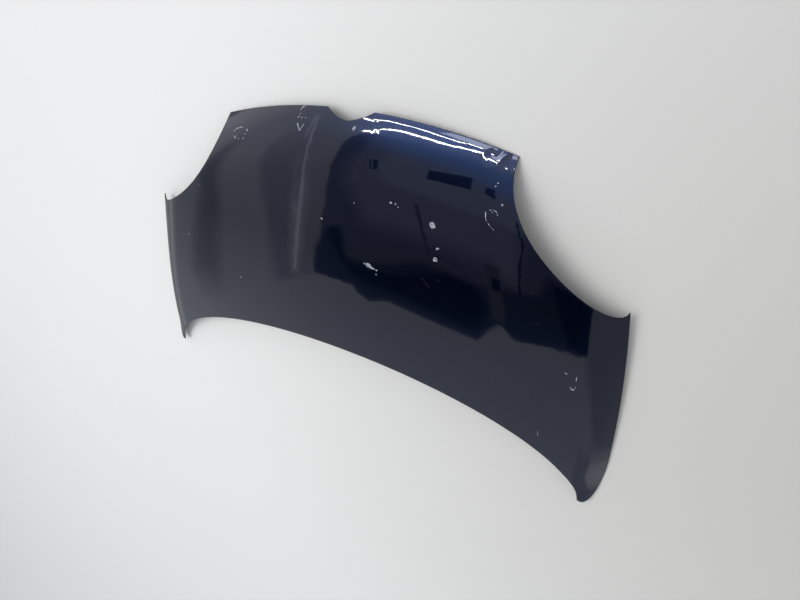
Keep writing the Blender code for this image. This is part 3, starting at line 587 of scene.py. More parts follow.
def weld_tree(material):
    """Sets a shallow dished weld mark on every point, facing along the point's own direction."""
    inputs = {
        "Weld diameter": 0.0062, "Weld rise": 0.00035, "Size spread": 0.18, "Seed": 4, "Finish": material}
    tree, size = new_tree("Set weld marks", inputs)
    facing = node(tree, "GeometryNodeInputNamedAttribute", {"Name": "facing"}, data_type="FLOAT_VECTOR")
    turn = node(tree, "FunctionNodeAlignRotationToVector", {"Vector": facing.outputs[0]}, axis="Z")
    spread = node(tree, "FunctionNodeRandomValue", {
        2: 1.0 - size["Size spread"], 3: size["Size spread"] + 1.0, "Seed": size["Seed"]}, data_type="FLOAT")
    dome = node(tree, "GeometryNodeMeshUVSphere", {"Segments": 20, "Rings": 10, "Radius": 0.5})
    flat = node(tree, "ShaderNodeCombineXYZ", {
        0: size["Weld diameter"], 1: size["Weld diameter"], 2: size["Weld rise"] * 2.0})
    shaped = node(tree, "GeometryNodeTransform", {"Geometry": dome.outputs[0], "Scale": flat.outputs[0]})
    points = node(tree, "GeometryNodeMeshToPoints", {"Mesh": size["Geometry"]})
    set_out = node(tree, "GeometryNodeInstanceOnPoints", {
        "Points": points.outputs[0], "Instance": shaped.outputs[0], "Rotation": turn.outputs[0],
        "Scale": spread.outputs[1]})
    finish_tree(tree, set_out.outputs[0], size["Finish"])
    return tree, inputs


# The photograph and the painted face: which place of the part's frame a pixel shows


KNOWN_CROWN = {name: Known(size) for name, size in CROWN_SIZES.items()}
SEARCH_LEVELS = (0.15, -0.05)
SEARCH_STEPS = 40


def painted_height(x, y):
    return float(face_height(KNOWN_CROWN, Known(x), Known(y - SHIFT.y))) + SHIFT.z


def painted_place(across, down):
    """The place on the painted face that a pixel of the photograph shows, and the direction it is seen in."""
    sight = CAMERA_AHEAD + CAMERA_RIGHT * ((across - IMAGE_WIDTH / 2) / FOCAL_PIXELS)
    sight = (sight - CAMERA_UP * ((down - IMAGE_HEIGHT / 2) / FOCAL_PIXELS)).normalized()
    above, below = [(level - CAMERA_PLACE.z) / sight.z for level in SEARCH_LEVELS]
    for _ in range(SEARCH_STEPS):
        middle = (above + below) / 2
        place = CAMERA_PLACE + sight * middle
        if place.z > painted_height(place.x, place.y):
            above = middle
        else:
            below = middle
    return place, sight


def mirrored_place(across, down, height):
    """The place at a height overhead that the paint mirrors at a pixel of the photograph, seen from above."""
    place, sight = painted_place(across, down)
    x, y = place.x, place.y
    fall_x = painted_height(x - SLOPE_REACH, y) - painted_height(x + SLOPE_REACH, y)
    fall_y = painted_height(x, y - SLOPE_REACH) - painted_height(x, y + SLOPE_REACH)
    square = Vector((fall_x, fall_y, 2 * SLOPE_REACH)).normalized()
    onward = sight - 2 * sight.dot(square) * square
    return tuple((place + onward * ((height - place.z) / onward.z))[:2])


# Finishing a piece


def settle(piece, sharp=SHARP_ANGLE):
    """Points a closed shell's faces outwards and shades it smooth between its sharp edges."""
    work = bmesh.new()
    work.from_mesh(piece.data)
    bmesh.ops.remove_doubles(work, verts=work.verts, dist=1e-6)
    bmesh.ops.recalc_face_normals(work, faces=work.faces)
    work.to_mesh(piece.data)
    work.free()
    piece.data.shade_smooth()
    piece.data.set_sharp_from_angle(angle=math.radians(sharp))
    return piece


def stands_for(piece, slot, *nodes):
    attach(piece, "root")
    if nodes:
        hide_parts(*nodes)
    return piece


# Materials


def new_material(name, colour, roughness, metallic=0.0, coat=0.0, coat_roughness=0.05):
    made = bpy.data.materials.new(name)
    made.use_nodes = True
    tree = made.node_tree
    shader = tree.nodes["Principled BSDF"]
    for socket, value in {
        "Base Color": (*colour, 1), "Roughness": roughness, "Metallic": metallic,
        "Coat Weight": coat, "Coat Roughness": coat_roughness,
    }.items():
        shader.inputs[socket].default_value = value
    made.diffuse_color = (*colour, 1)
    return made, tree, shader


def object_place(tree, scale=(1, 1, 1), turn=0.0):
    place = node(tree, "ShaderNodeTexCoord").outputs["Object"]
    if scale == (1, 1, 1) and turn == 0:
        return place
    return node(tree, "ShaderNodeMapping", {
        "Vector": place, "Scale": scale, "Rotation": (0, 0, math.radians(turn))}).outputs[0]


def noise(tree, scale, detail=3.0, place=None, roughness=0.5):
    made = node(tree, "ShaderNodeTexNoise", {
        "Vector": place or object_place(tree), "Scale": scale, "Detail": detail, "Roughness": roughness})
    return Value(tree, made.outputs[0])


def blend_colour(tree, share, first, second):
    made = node(tree, "ShaderNodeMix", data_type="RGBA")
    put(tree, made.inputs[0], share)
    for slot, colour in ((6, first), (7, second)):
        put(tree, made.inputs[slot], (*colour, 1) if isinstance(colour, tuple) else colour)
    return made.outputs[2]


def bumped(tree, shader, height, strength, distance, socket="Normal"):
    made = node(tree, "ShaderNodeBump", {"Height": height, "Strength": strength, "Distance": distance})
    tree.links.new(made.outputs[0], shader.inputs[socket])


def stroke_group():
    """Shader group: how near a place is to a straight stroke, from 1 on it to 0 off it."""
    tree = bpy.data.node_groups.new("Ragged stroke", "ShaderNodeTree")
    for label, kind in (("Place", "Vector"), ("Start", "Vector"), ("End", "Vector"), ("Width", "Float")):
        tree.interface.new_socket(label, in_out="INPUT", socket_type="NodeSocket" + kind)
    tree.interface.new_socket("Cover", in_out="OUTPUT", socket_type="NodeSocketFloat")
    given = tree.nodes.new("NodeGroupInput")

    def vector(operation, first, second, output=0):
        return node(tree, "ShaderNodeVectorMath", {0: first, 1: second}, operation=operation).outputs[output]

    flat = vector("MULTIPLY", given.outputs["Place"], (1, 1, 0))
    run = vector("SUBTRACT", given.outputs["End"], given.outputs["Start"])
    away = vector("SUBTRACT", flat, given.outputs["Start"])
    length = Value(tree, vector("DOT_PRODUCT", run, run, 1)).most(1e-9)
    share = (Value(tree, vector("DOT_PRODUCT", away, run, 1)) / length).between(0.0, 1.0)
    nearest = node(tree, "ShaderNodeVectorMath", {0: run, "Scale": share}, operation="SCALE").outputs[0]
    far = Value(tree, vector("DISTANCE", away, nearest, 1))
    width = Value(tree, given.outputs["Width"])
    cover = 1.0 - far.over(width * 0.35, width * 0.65)
    out = tree.nodes.new("NodeGroupOutput")
    tree.links.new(cover.socket, out.inputs["Cover"])
    return tree


# Marks on the paint: the width of each and the pixels of the photograph that it runs through
CRAYON_LINES = (
    (0.0020, (234.3, 130.8), (235.8, 129.1), (238.6, 127.6), (241.0, 127.1), (242.9, 127.1)),
    (0.0025, (245.0, 133.0), (245.2, 134.0)), (0.0023, (243.6, 137.5), (242.6, 138.9)),
    (0.0025, (238.8, 138.5), (238.2, 138.8)), (0.0021, (234.0, 135.7), (235.0, 137.9)),
    (0.0021, (235.0, 137.9), (237.1, 135.7)), (0.0043, (247.1, 129.6), (247.4, 130.7)),
    (0.0031, (297.4, 123.6), (299.4, 130.4)), (0.0021, (299.4, 130.4), (303.6, 124.7)),
    (0.0025, (305.5, 105.6), (302.5, 107.2), (300.7, 110.0)), (0.0033, (300.4, 113.3), (300.4, 113.7)),
    (0.0015, (297.9, 117.1), (300.0, 116.4)), (0.0028, (302.0, 117.5), (302.1, 117.7)),
    (0.0021, (305.7, 117.6), (305.7, 117.7)),
    (0.0017, (485.6, 211.8), (485.4, 215.4), (485.5, 219.0), (487.3, 222.7)),
    (0.0012, (487.3, 222.7), (490.0, 226.4), (493.6, 230.0)),
    (0.0016, (490.0, 210.3), (493.7, 210.2), (496.2, 212.0), (497.4, 215.0)),
    (0.0028, (492.5, 212.4), (492.2, 212.7)), (0.0015, (564.8, 373.0), (567.3, 374.5)),
    (0.0013, (576.5, 377.5), (576.0, 381.0)),
    (0.0026, (570.3, 387.4), (571.1, 389.6), (573.2, 390.1), (575.2, 387.5)),
    (0.0011, (537.7, 431.0), (537.5, 435.5)),
)
CHIPS = (
    (0.0058, (353.3, 129.2), (354.5, 127.6)), (0.0040, (390.4, 203.0), (391.1, 203.0)),
    (0.0028, (395.2, 203.8), (395.6, 204.1)), (0.0018, (397.9, 206.9), (398.0, 207.2)),
    (0.0115, (431.8, 224.7), (432.8, 226.0)), (0.0090, (432.3, 226.6), (433.3, 226.5)),
    (0.0026, (436.4, 249.7), (436.7, 248.7), (437.6, 248.2), (438.4, 249.1)),
    (0.0016, (501.3, 205.8), (502.5, 204.3), (503.6, 205.4)), (0.0024, (497.8, 182.8), (497.9, 183.1)),
    (0.0022, (495.5, 186.3), (495.3, 186.5)), (0.0040, (364.4, 263.4), (364.9, 263.7)),
    (0.0026, (364.9, 263.7), (366.6, 264.6)), (0.0092, (367.4, 264.9), (369.0, 266.0)),
    (0.0062, (369.0, 266.0), (371.5, 267.8)), (0.0034, (372.7, 268.6), (373.6, 269.1)),
    (0.0040, (376.3, 270.3), (376.6, 270.5)), (0.0024, (375.9, 274.2), (376.2, 274.7)),
    (0.0040, (321.5, 218.3), (321.8, 218.6)), (0.0036, (198.9, 184.4), (199.0, 184.6)),
    (0.0034, (189.0, 234.0), (189.1, 234.1)), (0.0034, (241.0, 277.0), (241.1, 277.1)),
    (0.0022, (353.8, 202.8), (353.9, 202.9)), (0.0015, (318.9, 106.4), (319.3, 106.4)),
    (0.0030, (433.9, 258.6), (434.4, 257.9), (435.4, 257.9), (436.3, 259.1)),
    (0.0030, (436.3, 259.1), (436.0, 260.8), (434.9, 261.1), (433.9, 260.1), (433.9, 258.6)),
)
HAIR_SCRATCHES = (
    (0.0009, (421.0, 277.3), (428.7, 287.3)), (0.0007, (438.0, 279.0), (438.3, 283.0)),
    (0.0006, (528.0, 293.3), (532.0, 293.3)), (0.0006, (533.0, 323.5), (538.0, 323.9)),
)
SCUFFS = ((0.0060, (614.8, 425.0), (615.8, 431.0)),)


def marks(tree, place, group):
    """Cover of crayon, of chips to the primer, of hair scratches and of dark scuffs over the paint."""
    ragged = node(tree, "ShaderNodeTexNoise", {"Vector": place, "Scale": 330.0, "Detail": 3.0})
    push = node(
        tree, "ShaderNodeVectorMath", {0: ragged.outputs["Color"], 1: (0.5, 0.5, 0.5)}, operation="SUBTRACT")
    push = node(tree, "ShaderNodeVectorMath", {0: push.outputs[0], "Scale": 0.0065}, operation="SCALE").outputs[0]
    moved = node(tree, "ShaderNodeVectorMath", {0: place, 1: push}, operation="ADD").outputs[0]

    def cover(runs, where):
        whole = None
        for width, *pixels in runs:
            places = [(*painted_place(*pixel)[0][:2], 0) for pixel in pixels]
            for start, end in zip(places[:-1], places[1:]):
                stroke = {"Place": where, "Start": start, "End": end, "Width": width}
                made = node(tree, "ShaderNodeGroup", node_tree=group)
                for label, value in stroke.items():
                    put(tree, made.inputs[label], value)
                part = Value(tree, made.outputs[0])
                whole = part if whole is None else whole.most(part)
        return whole

    square = node(tree, "ShaderNodeTexCoord").outputs["Normal"]
    facing = node(tree, "ShaderNodeSeparateXYZ", {0: square}).outputs[2]
    upper = Value(tree, facing).over(0.0, 0.3)
    broken = noise(tree, 420.0, 2.0).over(0.44, 0.58)
    crayon = cover(CRAYON_LINES, place) * (broken * 0.92 + 0.08) * upper
    flaked = noise(tree, 620.0, 2.0).over(0.34, 0.46)
    chips = cover(CHIPS, moved) * (flaked * 0.75 + 0.25) * upper
    return crayon, chips, cover(HAIR_SCRATCHES, place) * broken, cover(SCUFFS, moved)


def body_paint():
    """Dark blue metallic under clear lacquer, hazed and dusty, with crayon marks and chips to the primer."""
    made, tree, shader = new_material("body_paint", (0.0014, 0.0062, 0.0240), 0.28, 0.95, 1.0, 0.02)
    shader.inputs["Coat IOR"].default_value = 1.52
    place = object_place(tree)
    crayon, chips, scratches, scuffs = marks(tree, place, stroke_group())
    flake = noise(tree, 1500.0, 1.0).over(0.35, 0.70)
    colour = blend_colour(tree, flake, (0.0012, 0.0054, 0.0215), (0.0020, 0.0084, 0.0330))
    film = noise(tree, 4.0, 6.0, roughness=0.6).over(0.35, 0.75)
    specks = noise(tree, 420.0, 2.0).over(0.66, 0.74)
    dust = film * 0.004 + specks * film * 0.02 + 0.001
    colour = blend_colour(tree, dust, colour, (0.42, 0.41, 0.38))
    grain = noise(tree, 500.0, 3.0).over(0.38, 0.60)
    primer = blend_colour(tree, grain, (0.13, 0.14, 0.18), (0.48, 0.51, 0.56))
    colour = blend_colour(tree, scuffs, colour, (0.010, 0.010, 0.010))
    colour = blend_colour(tree, scratches * 0.5, colour, (0.16, 0.14, 0.14))
    colour = blend_colour(tree, crayon * 0.75, colour, (0.58, 0.64, 0.74))
    colour = blend_colour(tree, chips, colour, primer)
    put(tree, shader.inputs["Base Color"], colour)
    marked = crayon.most(chips).most(scuffs).most(scratches * 0.5)
    put(tree, shader.inputs["Metallic"], (1.0 - marked) * 0.95)
    put(tree, shader.inputs["Coat Weight"], 1.0 - marked)
    swirl = noise(tree, 9.0, 3.0, object_place(tree, (1, 34, 1), 31.0)).over(0.63, 0.66)
    swirl = swirl.most(noise(tree, 11.0, 3.0, object_place(tree, (1, 40, 1), -48.0)).over(0.64, 0.67))
    haze = film * 0.018 + swirl * 0.012 + 0.012
    put(tree, shader.inputs["Coat Roughness"], haze)
    put(tree, shader.inputs["Roughness"], marked * 0.42 + 0.28)
    peel = noise(tree, 190.0, 1.0) * 0.00002 + noise(tree, 16.0, 1.0) * 0.00022
    bumped(tree, shader, peel, 1.0, 1.0, "Coat Normal")
    bumped(tree, shader, (1.0 - chips) * 0.00012, 1.0, 1.0)
    return made


def inner_paint():
    """Thin, duller colour coat on the hidden side, dusty and with bare patches of primer."""
    made, tree, shader = new_material("inner_paint", (0.010, 0.013, 0.028), 0.45, 0.3, 0.35, 0.25)
    film = noise(tree, 6.0, 6.0, roughness=0.65)
    colour = blend_colour(tree, film.over(0.35, 0.7), (0.010, 0.014, 0.030), (0.028, 0.030, 0.036))
    bare = noise(tree, 17.0, 5.0, roughness=0.7).over(0.70, 0.74)
    colour = blend_colour(tree, bare, colour, (0.09, 0.095, 0.10))
    put(tree, shader.inputs["Base Color"], colour)
    put(tree, shader.inputs["Roughness"], film.over(0.3, 0.7) * 0.25 + 0.35)
    bumped(tree, shader, noise(tree, 240.0, 2.0) * 0.00008, 1.0, 1.0)
    return made


def base_coat():
    """Grey dip primer with mist of the colour over it, on the hidden face of the skin."""
    made, tree, shader = new_material("base_coat", (0.045, 0.050, 0.055), 0.55)
    mist = noise(tree, 5.0, 6.0, roughness=0.7).over(0.38, 0.62)
    colour = blend_colour(tree, mist, (0.072, 0.078, 0.082), (0.022, 0.027, 0.040))
    runs = noise(tree, 26.0, 4.0, object_place(tree, (1, 0.12, 1))).over(0.60, 0.68)
    put(tree, shader.inputs["Base Color"], blend_colour(tree, runs * 0.5, colour, (0.11, 0.115, 0.12)))
    put(tree, shader.inputs["Roughness"], mist * 0.2 + 0.42)
    bumped(tree, shader, noise(tree, 320.0, 2.0) * 0.00006, 1.0, 1.0)
    return made


def plated(name, tint):
    made, tree, shader = new_material(name, tint, 0.35, 1.0)
    tarnish = noise(tree, 90.0, 5.0, roughness=0.6).over(0.4, 0.7)
    colour = blend_colour(tree, tarnish, tint, tuple(0.45 * c for c in tint))
    rust = noise(tree, 160.0, 4.0).over(0.66, 0.72)
    put(tree, shader.inputs["Base Color"], blend_colour(tree, rust, colour, (0.16, 0.07, 0.03)))
    put(tree, shader.inputs["Metallic"], 1.0 - rust * 0.9)
    put(tree, shader.inputs["Roughness"], tarnish * 0.25 + 0.28)
    bumped(tree, shader, noise(tree, 700.0, 2.0) * 0.00005, 1.0, 1.0)
    return made


def moulded(name, low, high, roughness, grain):
    made, tree, shader = new_material(name, low, roughness)
    worn = noise(tree, 60.0, 5.0, roughness=0.65).over(0.35, 0.75)
    put(tree, shader.inputs["Base Color"], blend_colour(tree, worn, low, high))
    put(tree, shader.inputs["Roughness"], worn * 0.2 + (roughness - 0.1))
    bumped(tree, shader, noise(tree, grain, 3.0) * 0.0001, 1.0, 1.0)
    return made


# Sheets


# Crumpled nose corner on the right: places on the panel, in the part's frame, and how far each is pushed in
CRUMPLE = (
    (0.322, 0.376, 0.0), (0.326, 0.345, 0.0), (0.345, 0.325, 0.0), (0.365, 0.314, 0.0), (0.395, 0.303, 0.0),
    (0.414, 0.316, 0.0), (0.408, 0.336, 0.0), (0.4035, 0.358, 0.0), (0.3379, 0.3665, 0.0003),
    (0.3445, 0.3523, 0.0008), (0.3612, 0.3502, 0.0009), (0.3734, 0.3545, 0.0001), (0.3832, 0.3480, 0.0009),
    (0.3633, 0.3394, 0.0002), (0.3798, 0.3320, 0.0005), (0.3985, 0.3300, 0.0003), (0.3520, 0.3720, 0.0004),
    (0.3720, 0.3680, 0.0009), (0.3900, 0.3630, 0.0005),
)


def dent_depth(plan):
    """Extra depth below the painted face, in flat facets between the places of the crumple."""
    points = [Vector((x, y - SHIFT.y)) for x, y, depth in CRUMPLE]
    triangles = delaunay_2d_cdt(points, [], [], 0, 1e-6)[2]
    depth = np.zeros(len(plan))
    for corners in triangles:
        a, b, c = (np.array(points[k]) for k in corners)
        across = np.linalg.inv(np.stack([b - a, c - a], 1))
        share = (plan - a) @ across.T
        inside = (share >= -1e-9).all(1) & (share.sum(1) <= 1 + 1e-9)
        levels = [CRUMPLE[k][2] for k in corners]
        level = levels[0] + share[:, 0] * (levels[1] - levels[0]) + share[:, 1] * (levels[2] - levels[0])
        depth = np.where(inside, level, depth)
    return depth


def outer_skin(tree, inputs):
    """Skin with its edge folded back flat over the inner frame all the way round."""
    blank = Blank(SKIN_COLUMN_SPLITS, SKIN_ROW_SPLITS)
    places = blank.grid.reshape(-1, 2)
    dents = dent_depth(places)
    layers = [(places, dents), (places, dents + SKIN_T)]
    base = 2 * len(places)
    count = len(blank.ring)
    r = HEM_T / 2
    fold = [(r * (1 - math.sin(a)), r * (1 - math.cos(a))) for a in np.linspace(0, math.pi, 9)]
    section = [
        *[(inset, 0.0) for inset in HEM_RINGS], *fold, *[(inset, HEM_T) for inset in HEM_RINGS[1::-1]],
        (None, HEM_T), (HEM_WIDTH + HEM_END_ROUND, HEM_T - SKIN_T / 2), (None, HEM_T - SKIN_T),
        (SLOT_ROOT, HEM_T - SKIN_T), (SLOT_ROOT, SKIN_T),
    ]
    loops = [blank.ring_at(0)]
    for inset, depth in section:
        plan = blank.loop(inset)
        layers.append((plan, dent_depth(plan) + depth))
        loops.append(list(range(base, base + count)))
        base += count
    loops.append(blank.ring_at(len(places)))
    painted = len(HEM_RINGS) + len(fold) + 1
    outer = blank.grid_faces(0, False) + joined_loops(loops[: painted + 1])
    faces = outer + joined_loops(loops[painted:]) + blank.grid_faces(len(places), True)
    mesh = blank_mesh("outer_skin_blank", layers, faces, len(outer))
    piece = settle(grown("painted_skin", mesh, tree, inputs))
    return stands_for(piece, "body_paint", "outer_skin")


def two_sided(pads):
    both = []
    for c0, c1, r0, r1 in pads:
        both.append((c0, c1, r0, r1))
        if c0 > 0:
            both.append((-c1, -c0, r0, r1))
    return both


def frame_depths(blank):
    """Depth of the inner frame below the painted face, worked out on the stamped grid and eased between."""
    shallow = SKIN_T + GAP
    times = FRAME_SPLITS[0][0]
    coarse = blank.grid[::times, ::times]
    flat = coarse.reshape(-1, 1, 2)
    room = np.sqrt(((flat - blank.fence[None, ::4]) ** 2).sum(-1)).min(1).reshape(coarse.shape[:2])
    depth = np.clip(shallow + WALL_RISE * (room - FLANGE_END), shallow, CHANNEL_DEPTH)
    centre = coarse.shape[0] // 2
    for c0, c1, r0, r1 in two_sided(FIELDS):
        depth[c0 + centre: c1 + centre + 1, r0: r1 + 1] = FIELD_DEPTH
    depth[[0, -1]] = shallow
    depth[:, [0, -1]] = shallow
    columns = np.linspace(0, coarse.shape[0] - 1, blank.columns)
    rows = np.linspace(0, coarse.shape[1] - 1, blank.rows)
    column_count, row_count = coarse.shape[:2]
    depth = np.array([np.interp(columns, np.arange(column_count), depth[:, j]) for j in range(row_count)])
    depth = np.array([np.interp(rows, np.arange(row_count), depth[:, i]) for i in range(blank.columns)])
    for _ in range(SOFTENING_PASSES):
        soft = depth.copy()
        soft[1:-1, 1:-1] = (2 * depth[1:-1, 1:-1] + depth[:-2, 1:-1] + depth[2:, 1:-1]
                            + depth[1:-1, :-2] + depth[1:-1, 2:]) / 6
        depth = np.maximum(soft, shallow)
    return depth


def opening_outline(blank, opening, count=96):
    c0, c1, r0, r1 = opening
    a = np.arange(count) * 2 * math.pi / count
    power = 2 / OPENING_POWER
    cos = np.sign(np.cos(a)) * np.abs(np.cos(a)) ** power
    sin = np.sign(np.sin(a)) * np.abs(np.sin(a)) ** power
    return blank.at((c0 + c1) / 2 + (c1 - c0) / 2 * cos, (r0 + r1) / 2 + (r1 - r0) / 2 * sin)


def pad_planes(blank):
    """Place, normal and grid range of each flat pad, read off the stamped frame under it."""
    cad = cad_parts["inner_frame"].data
    tree = BVHTree.FromPolygons([v.co for v in cad.vertices], [p.vertices for p in cad.polygons])
    planes = []
    for pad in two_sided(PADS.values()):
        if pad == (-7, -6, 8, 10):
            continue
        c0, c1, r0, r1 = pad
        x, y = blank.at(np.array([0.8 * c0 + 0.2 * c1]), np.array([0.8 * r0 + 0.2 * r1]))[0]
        place, normal = tree.ray_cast(Vector((x, y, 1)) + SHIFT, Vector((0, 0, -1)))[:2]
        planes.append((pad, place, normal))
    return planes


def flattened(piece, blank, planes):
    """Sets the pads of the pressed frame on their planes, upper and lower sheet."""
    points = np.array([v.co[:] for v in piece.data.vertices])
    size = blank.columns * blank.rows
    times = FRAME_SPLITS[0][0]
    for (c0, c1, r0, r1), place, normal in planes:
        for i in range(c0 * times + blank.centre, c1 * times + blank.centre + 1):
            for j in range(r0 * times, r1 * times + 1):
                k = i * blank.rows + j
                off = (Vector(points[k]) - place).dot(normal) / normal.z
                points[k, 2] -= off
                points[size + k] = points[k] - np.array(normal) * FRAME_T
    piece.data.vertices.foreach_set("co", points.ravel())


def prism_mesh(name, outlines, low, high):
    points, faces = [], []
    for run in outlines:
        base, count = len(points), len(run)
        points += [(x, y, low) for x, y in run] + [(x, y, high) for x, y in run]
        faces += [tuple(range(base, base + count))[::-1], tuple(range(base + count, base + 2 * count))]
        for k in range(count):
            n = (k + 1) % count
            faces.append((base + k, base + n, base + count + n, base + count + k))
    mesh = bpy.data.meshes.new(name)
    mesh.from_pydata(points, [], faces)
    return mesh


def circle(diameter, count, middle=(0.0, 0.0)):
    a = np.arange(count) * 2 * math.pi / count
    return np.stack([middle[0] + diameter / 2 * np.cos(a), middle[1] + diameter / 2 * np.sin(a)], 1)


def cut(piece, outlines):
    """Cuts straight through a piece along each outline."""
    cutter = new_piece("cutter", prism_mesh("cutter", outlines, *CUTTER_RANGE))
    modifier = piece.modifiers.new("cut", "BOOLEAN")
    modifier.operation = "DIFFERENCE"
    modifier.solver = "EXACT"
    modifier.object = cutter
    make_plain(piece)
    bpy.data.objects.remove(cutter)


def inner_frame(tree, inputs):
    blank = Blank(*FRAME_SPLITS)
    places = blank.grid.reshape(-1, 2)
    depth = frame_depths(blank).reshape(-1)
    shallow = SKIN_T + GAP
    layers = [(places, depth), (places, depth + FRAME_T)]
    loops = [blank.ring_at(0)]
    base, count = 2 * len(places), len(blank.ring)
    for inset, level in ((FRAME_RING, shallow), (FRAME_EDGE, shallow), (FRAME_EDGE, shallow + FRAME_T),
                         (FRAME_RING, shallow + FRAME_T)):
        layers.append((blank.loop(inset), level))
        loops.append(list(range(base, base + count)))
        base += count
    loops.append(blank.ring_at(len(places)))
    faces = blank.grid_faces(0, False) + joined_loops(loops) + blank.grid_faces(len(places), True)
    mesh = blank_mesh("inner_frame_blank", layers, faces)
    piece = grown("ribbed_inner_frame", mesh, tree, inputs)
    flattened(piece, blank, pad_planes(blank))
    settle(piece)
    move = np.array(SHIFT[:2])
    holes = []
    for side in (1, -1):
        for column, row, width in TOOLING_HOLES:
            middle = blank.at(np.array([side * column]), np.array([row]))[0] + move
            holes.append(circle(width, HOLE_SIDES, middle))
    cut(piece, [opening_outline(blank, o) + move for o in two_sided(OPENINGS)] + holes)
    piece.data.shade_smooth()
    piece.data.set_sharp_from_angle(angle=math.radians(SHARP_ANGLE))
    return stands_for(piece, "inner_paint", "inner_frame")


def sealant_bead(material):
    """Bead pressed into the step where the folded edge ends on the inner frame."""
    blank = Blank(*FRAME_SPLITS)
    plan = blank.loop(HEM_WIDTH + SEALANT_AWAY)
    count = len(plan)
    mesh = blank_mesh("bead_run", [(plan, np.full(count, HEM_T - SEALANT_SUNK))], [])
    mesh.edges.add(count)
    mesh.edges.foreach_set("vertices", [v for k in range(count) for v in (k, (k + 1) % count)])
    piece = settle(grown("sealant_bead", mesh, *bead_tree(material)), 80.0)
    return stands_for(piece, "mastic")


# Width and length of the ring of welds round each reinforcement, and how many there are
WELD_RINGS = {"hinge": (0.062, 0.100, 8), "striker": (0.112, 0.052, 8)}


def weld_places(blank):
    """Places of the weld marks round each reinforcement, as seen from above in the part's frame."""
    rings = []
    for name, (across, lengthways, count) in WELD_RINGS.items():
        for c0, c1, r0, r1 in two_sided([PADS[name]]):
            middle = blank.at(np.array([(c0 + c1) / 2]), np.array([(r0 + r1) / 2]))[0]
            a = (np.arange(count) + 0.5) * 2 * math.pi / count
            rings.append(middle + np.stack([across / 2 * np.cos(a), lengthways / 2 * np.sin(a)], 1))
    return np.vstack(rings) + np.array(SHIFT[:2])


def weld_marks(frame_piece, material):
    """Dished marks set square on the underside of the inner frame, wherever it isn't cut away."""
    blank = Blank(*FRAME_SPLITS)
    tree = BVHTree.FromPolygons([v.co for v in frame_piece.data.vertices],
                                [p.vertices for p in frame_piece.data.polygons])
    points, facing = [], []
    for x, y in weld_places(blank):
        place, normal = tree.ray_cast(Vector((x, y, -0.05)), Vector((0, 0, 1)))[:2]
        if place:
            points.append(tuple(place))
            facing.append(tuple(normal))
    mesh = bpy.data.meshes.new("weld_points")
    mesh.from_pydata(points, [], [])
    mesh.attributes.new("facing", "FLOAT_VECTOR", "POINT").data.foreach_set("vector", np.ravel(facing))
    piece = settle(grown("weld_marks", mesh, *weld_tree(material)), 80.0)
    return stands_for(piece, "inner_paint")


# Fittings that show from below, turned and swept finer than the CAD solids; their widths are diameters


TURNED_SIDES = 48
WIRE_SIDES = 24
BARB = 0.0008
BOLT = {
    "flats": 0.013, "head": 0.0068, "chamfer": 0.0008, "flange": 0.0175, "rim": 0.0015, "shank": 0.008}
STOP = {"width": 0.026, "height": 0.014, "foot": 0.003, "stem": 0.008}
PLUG = {"width": 0.024, "flange": 0.007, "rim": 0.0016, "wall": 0.0032}
STAY = {"width": 0.012, "bore": 0.0075, "flange": 0.019, "rim": 0.0026}
LOOP = {"wire": 0.008, "span": 0.026, "drop": 0.030}
BEAD = {"reach": 0.0024, "height": 0.0026, "sunk": 0.0003, "bite": 0.0002, "ripple": 0.00012, "ripples": 9}
PLATE_EDGE = 0.0005
SAME_FACING = 0.9995


def lie_of(name, like=None):
    """Where a fitting sits: its middle with Z square to its largest flat, or another's, and its Z range."""
    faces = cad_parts[like or name].data.polygons
    normals = np.array([face.normal[:] for face in faces])
    areas = np.array([face.area for face in faces])
    up = normals[np.argmax((np.abs(normals @ normals.T) > SAME_FACING) @ areas)]
    up = Vector(up if up[2] > 0 else -up).normalized()
    across = (Vector((1, 0, 0)) - up * up.x).normalized()
    turn = Matrix((across, up.cross(across), up)).transposed()
    points = np.array([v.co[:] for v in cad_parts[name].data.vertices]) @ np.array(turn)
    low, high = points.min(0), points.max(0)
    middle = turn @ Vector(((low[0] + high[0]) / 2, (low[1] + high[1]) / 2, 0))
    return Matrix.Translation(middle) @ turn.to_4x4(), float(low[2]), float(high[2])


def ring(width, height, six_sided=False):
    """Points round Z: a circle, or a hexagon measured across its flats."""
    a = np.arange(TURNED_SIDES) * 2 * math.pi / TURNED_SIDES
    r = np.full(len(a), width / 2)
    if six_sided:
        r = r / np.cos((a + math.pi / 6) % (math.pi / 3) - math.pi / 6)
    return np.stack([r * np.cos(a), r * np.sin(a), np.full(len(a), height)], 1)


def shell(name, rings, lie, material, slot, *nodes, hollow=False):
    """Closed piece through rings of points, capped at both ends or joined round on itself."""
    count = len(rings[0])
    loops = [list(range(k * count, (k + 1) * count)) for k in range(len(rings))]
    faces = joined_loops([*loops, loops[0]] if hollow else loops)
    faces += [] if hollow else [tuple(loops[0]), tuple(loops[-1])]
    mesh = bpy.data.meshes.new(name)
    mesh.from_pydata([tuple(lie @ Vector(p)) for p in np.vstack(rings)], [], faces)
    mesh.materials.append(material)
    return stands_for(settle(new_piece(name, mesh), 35.0), slot, *nodes)


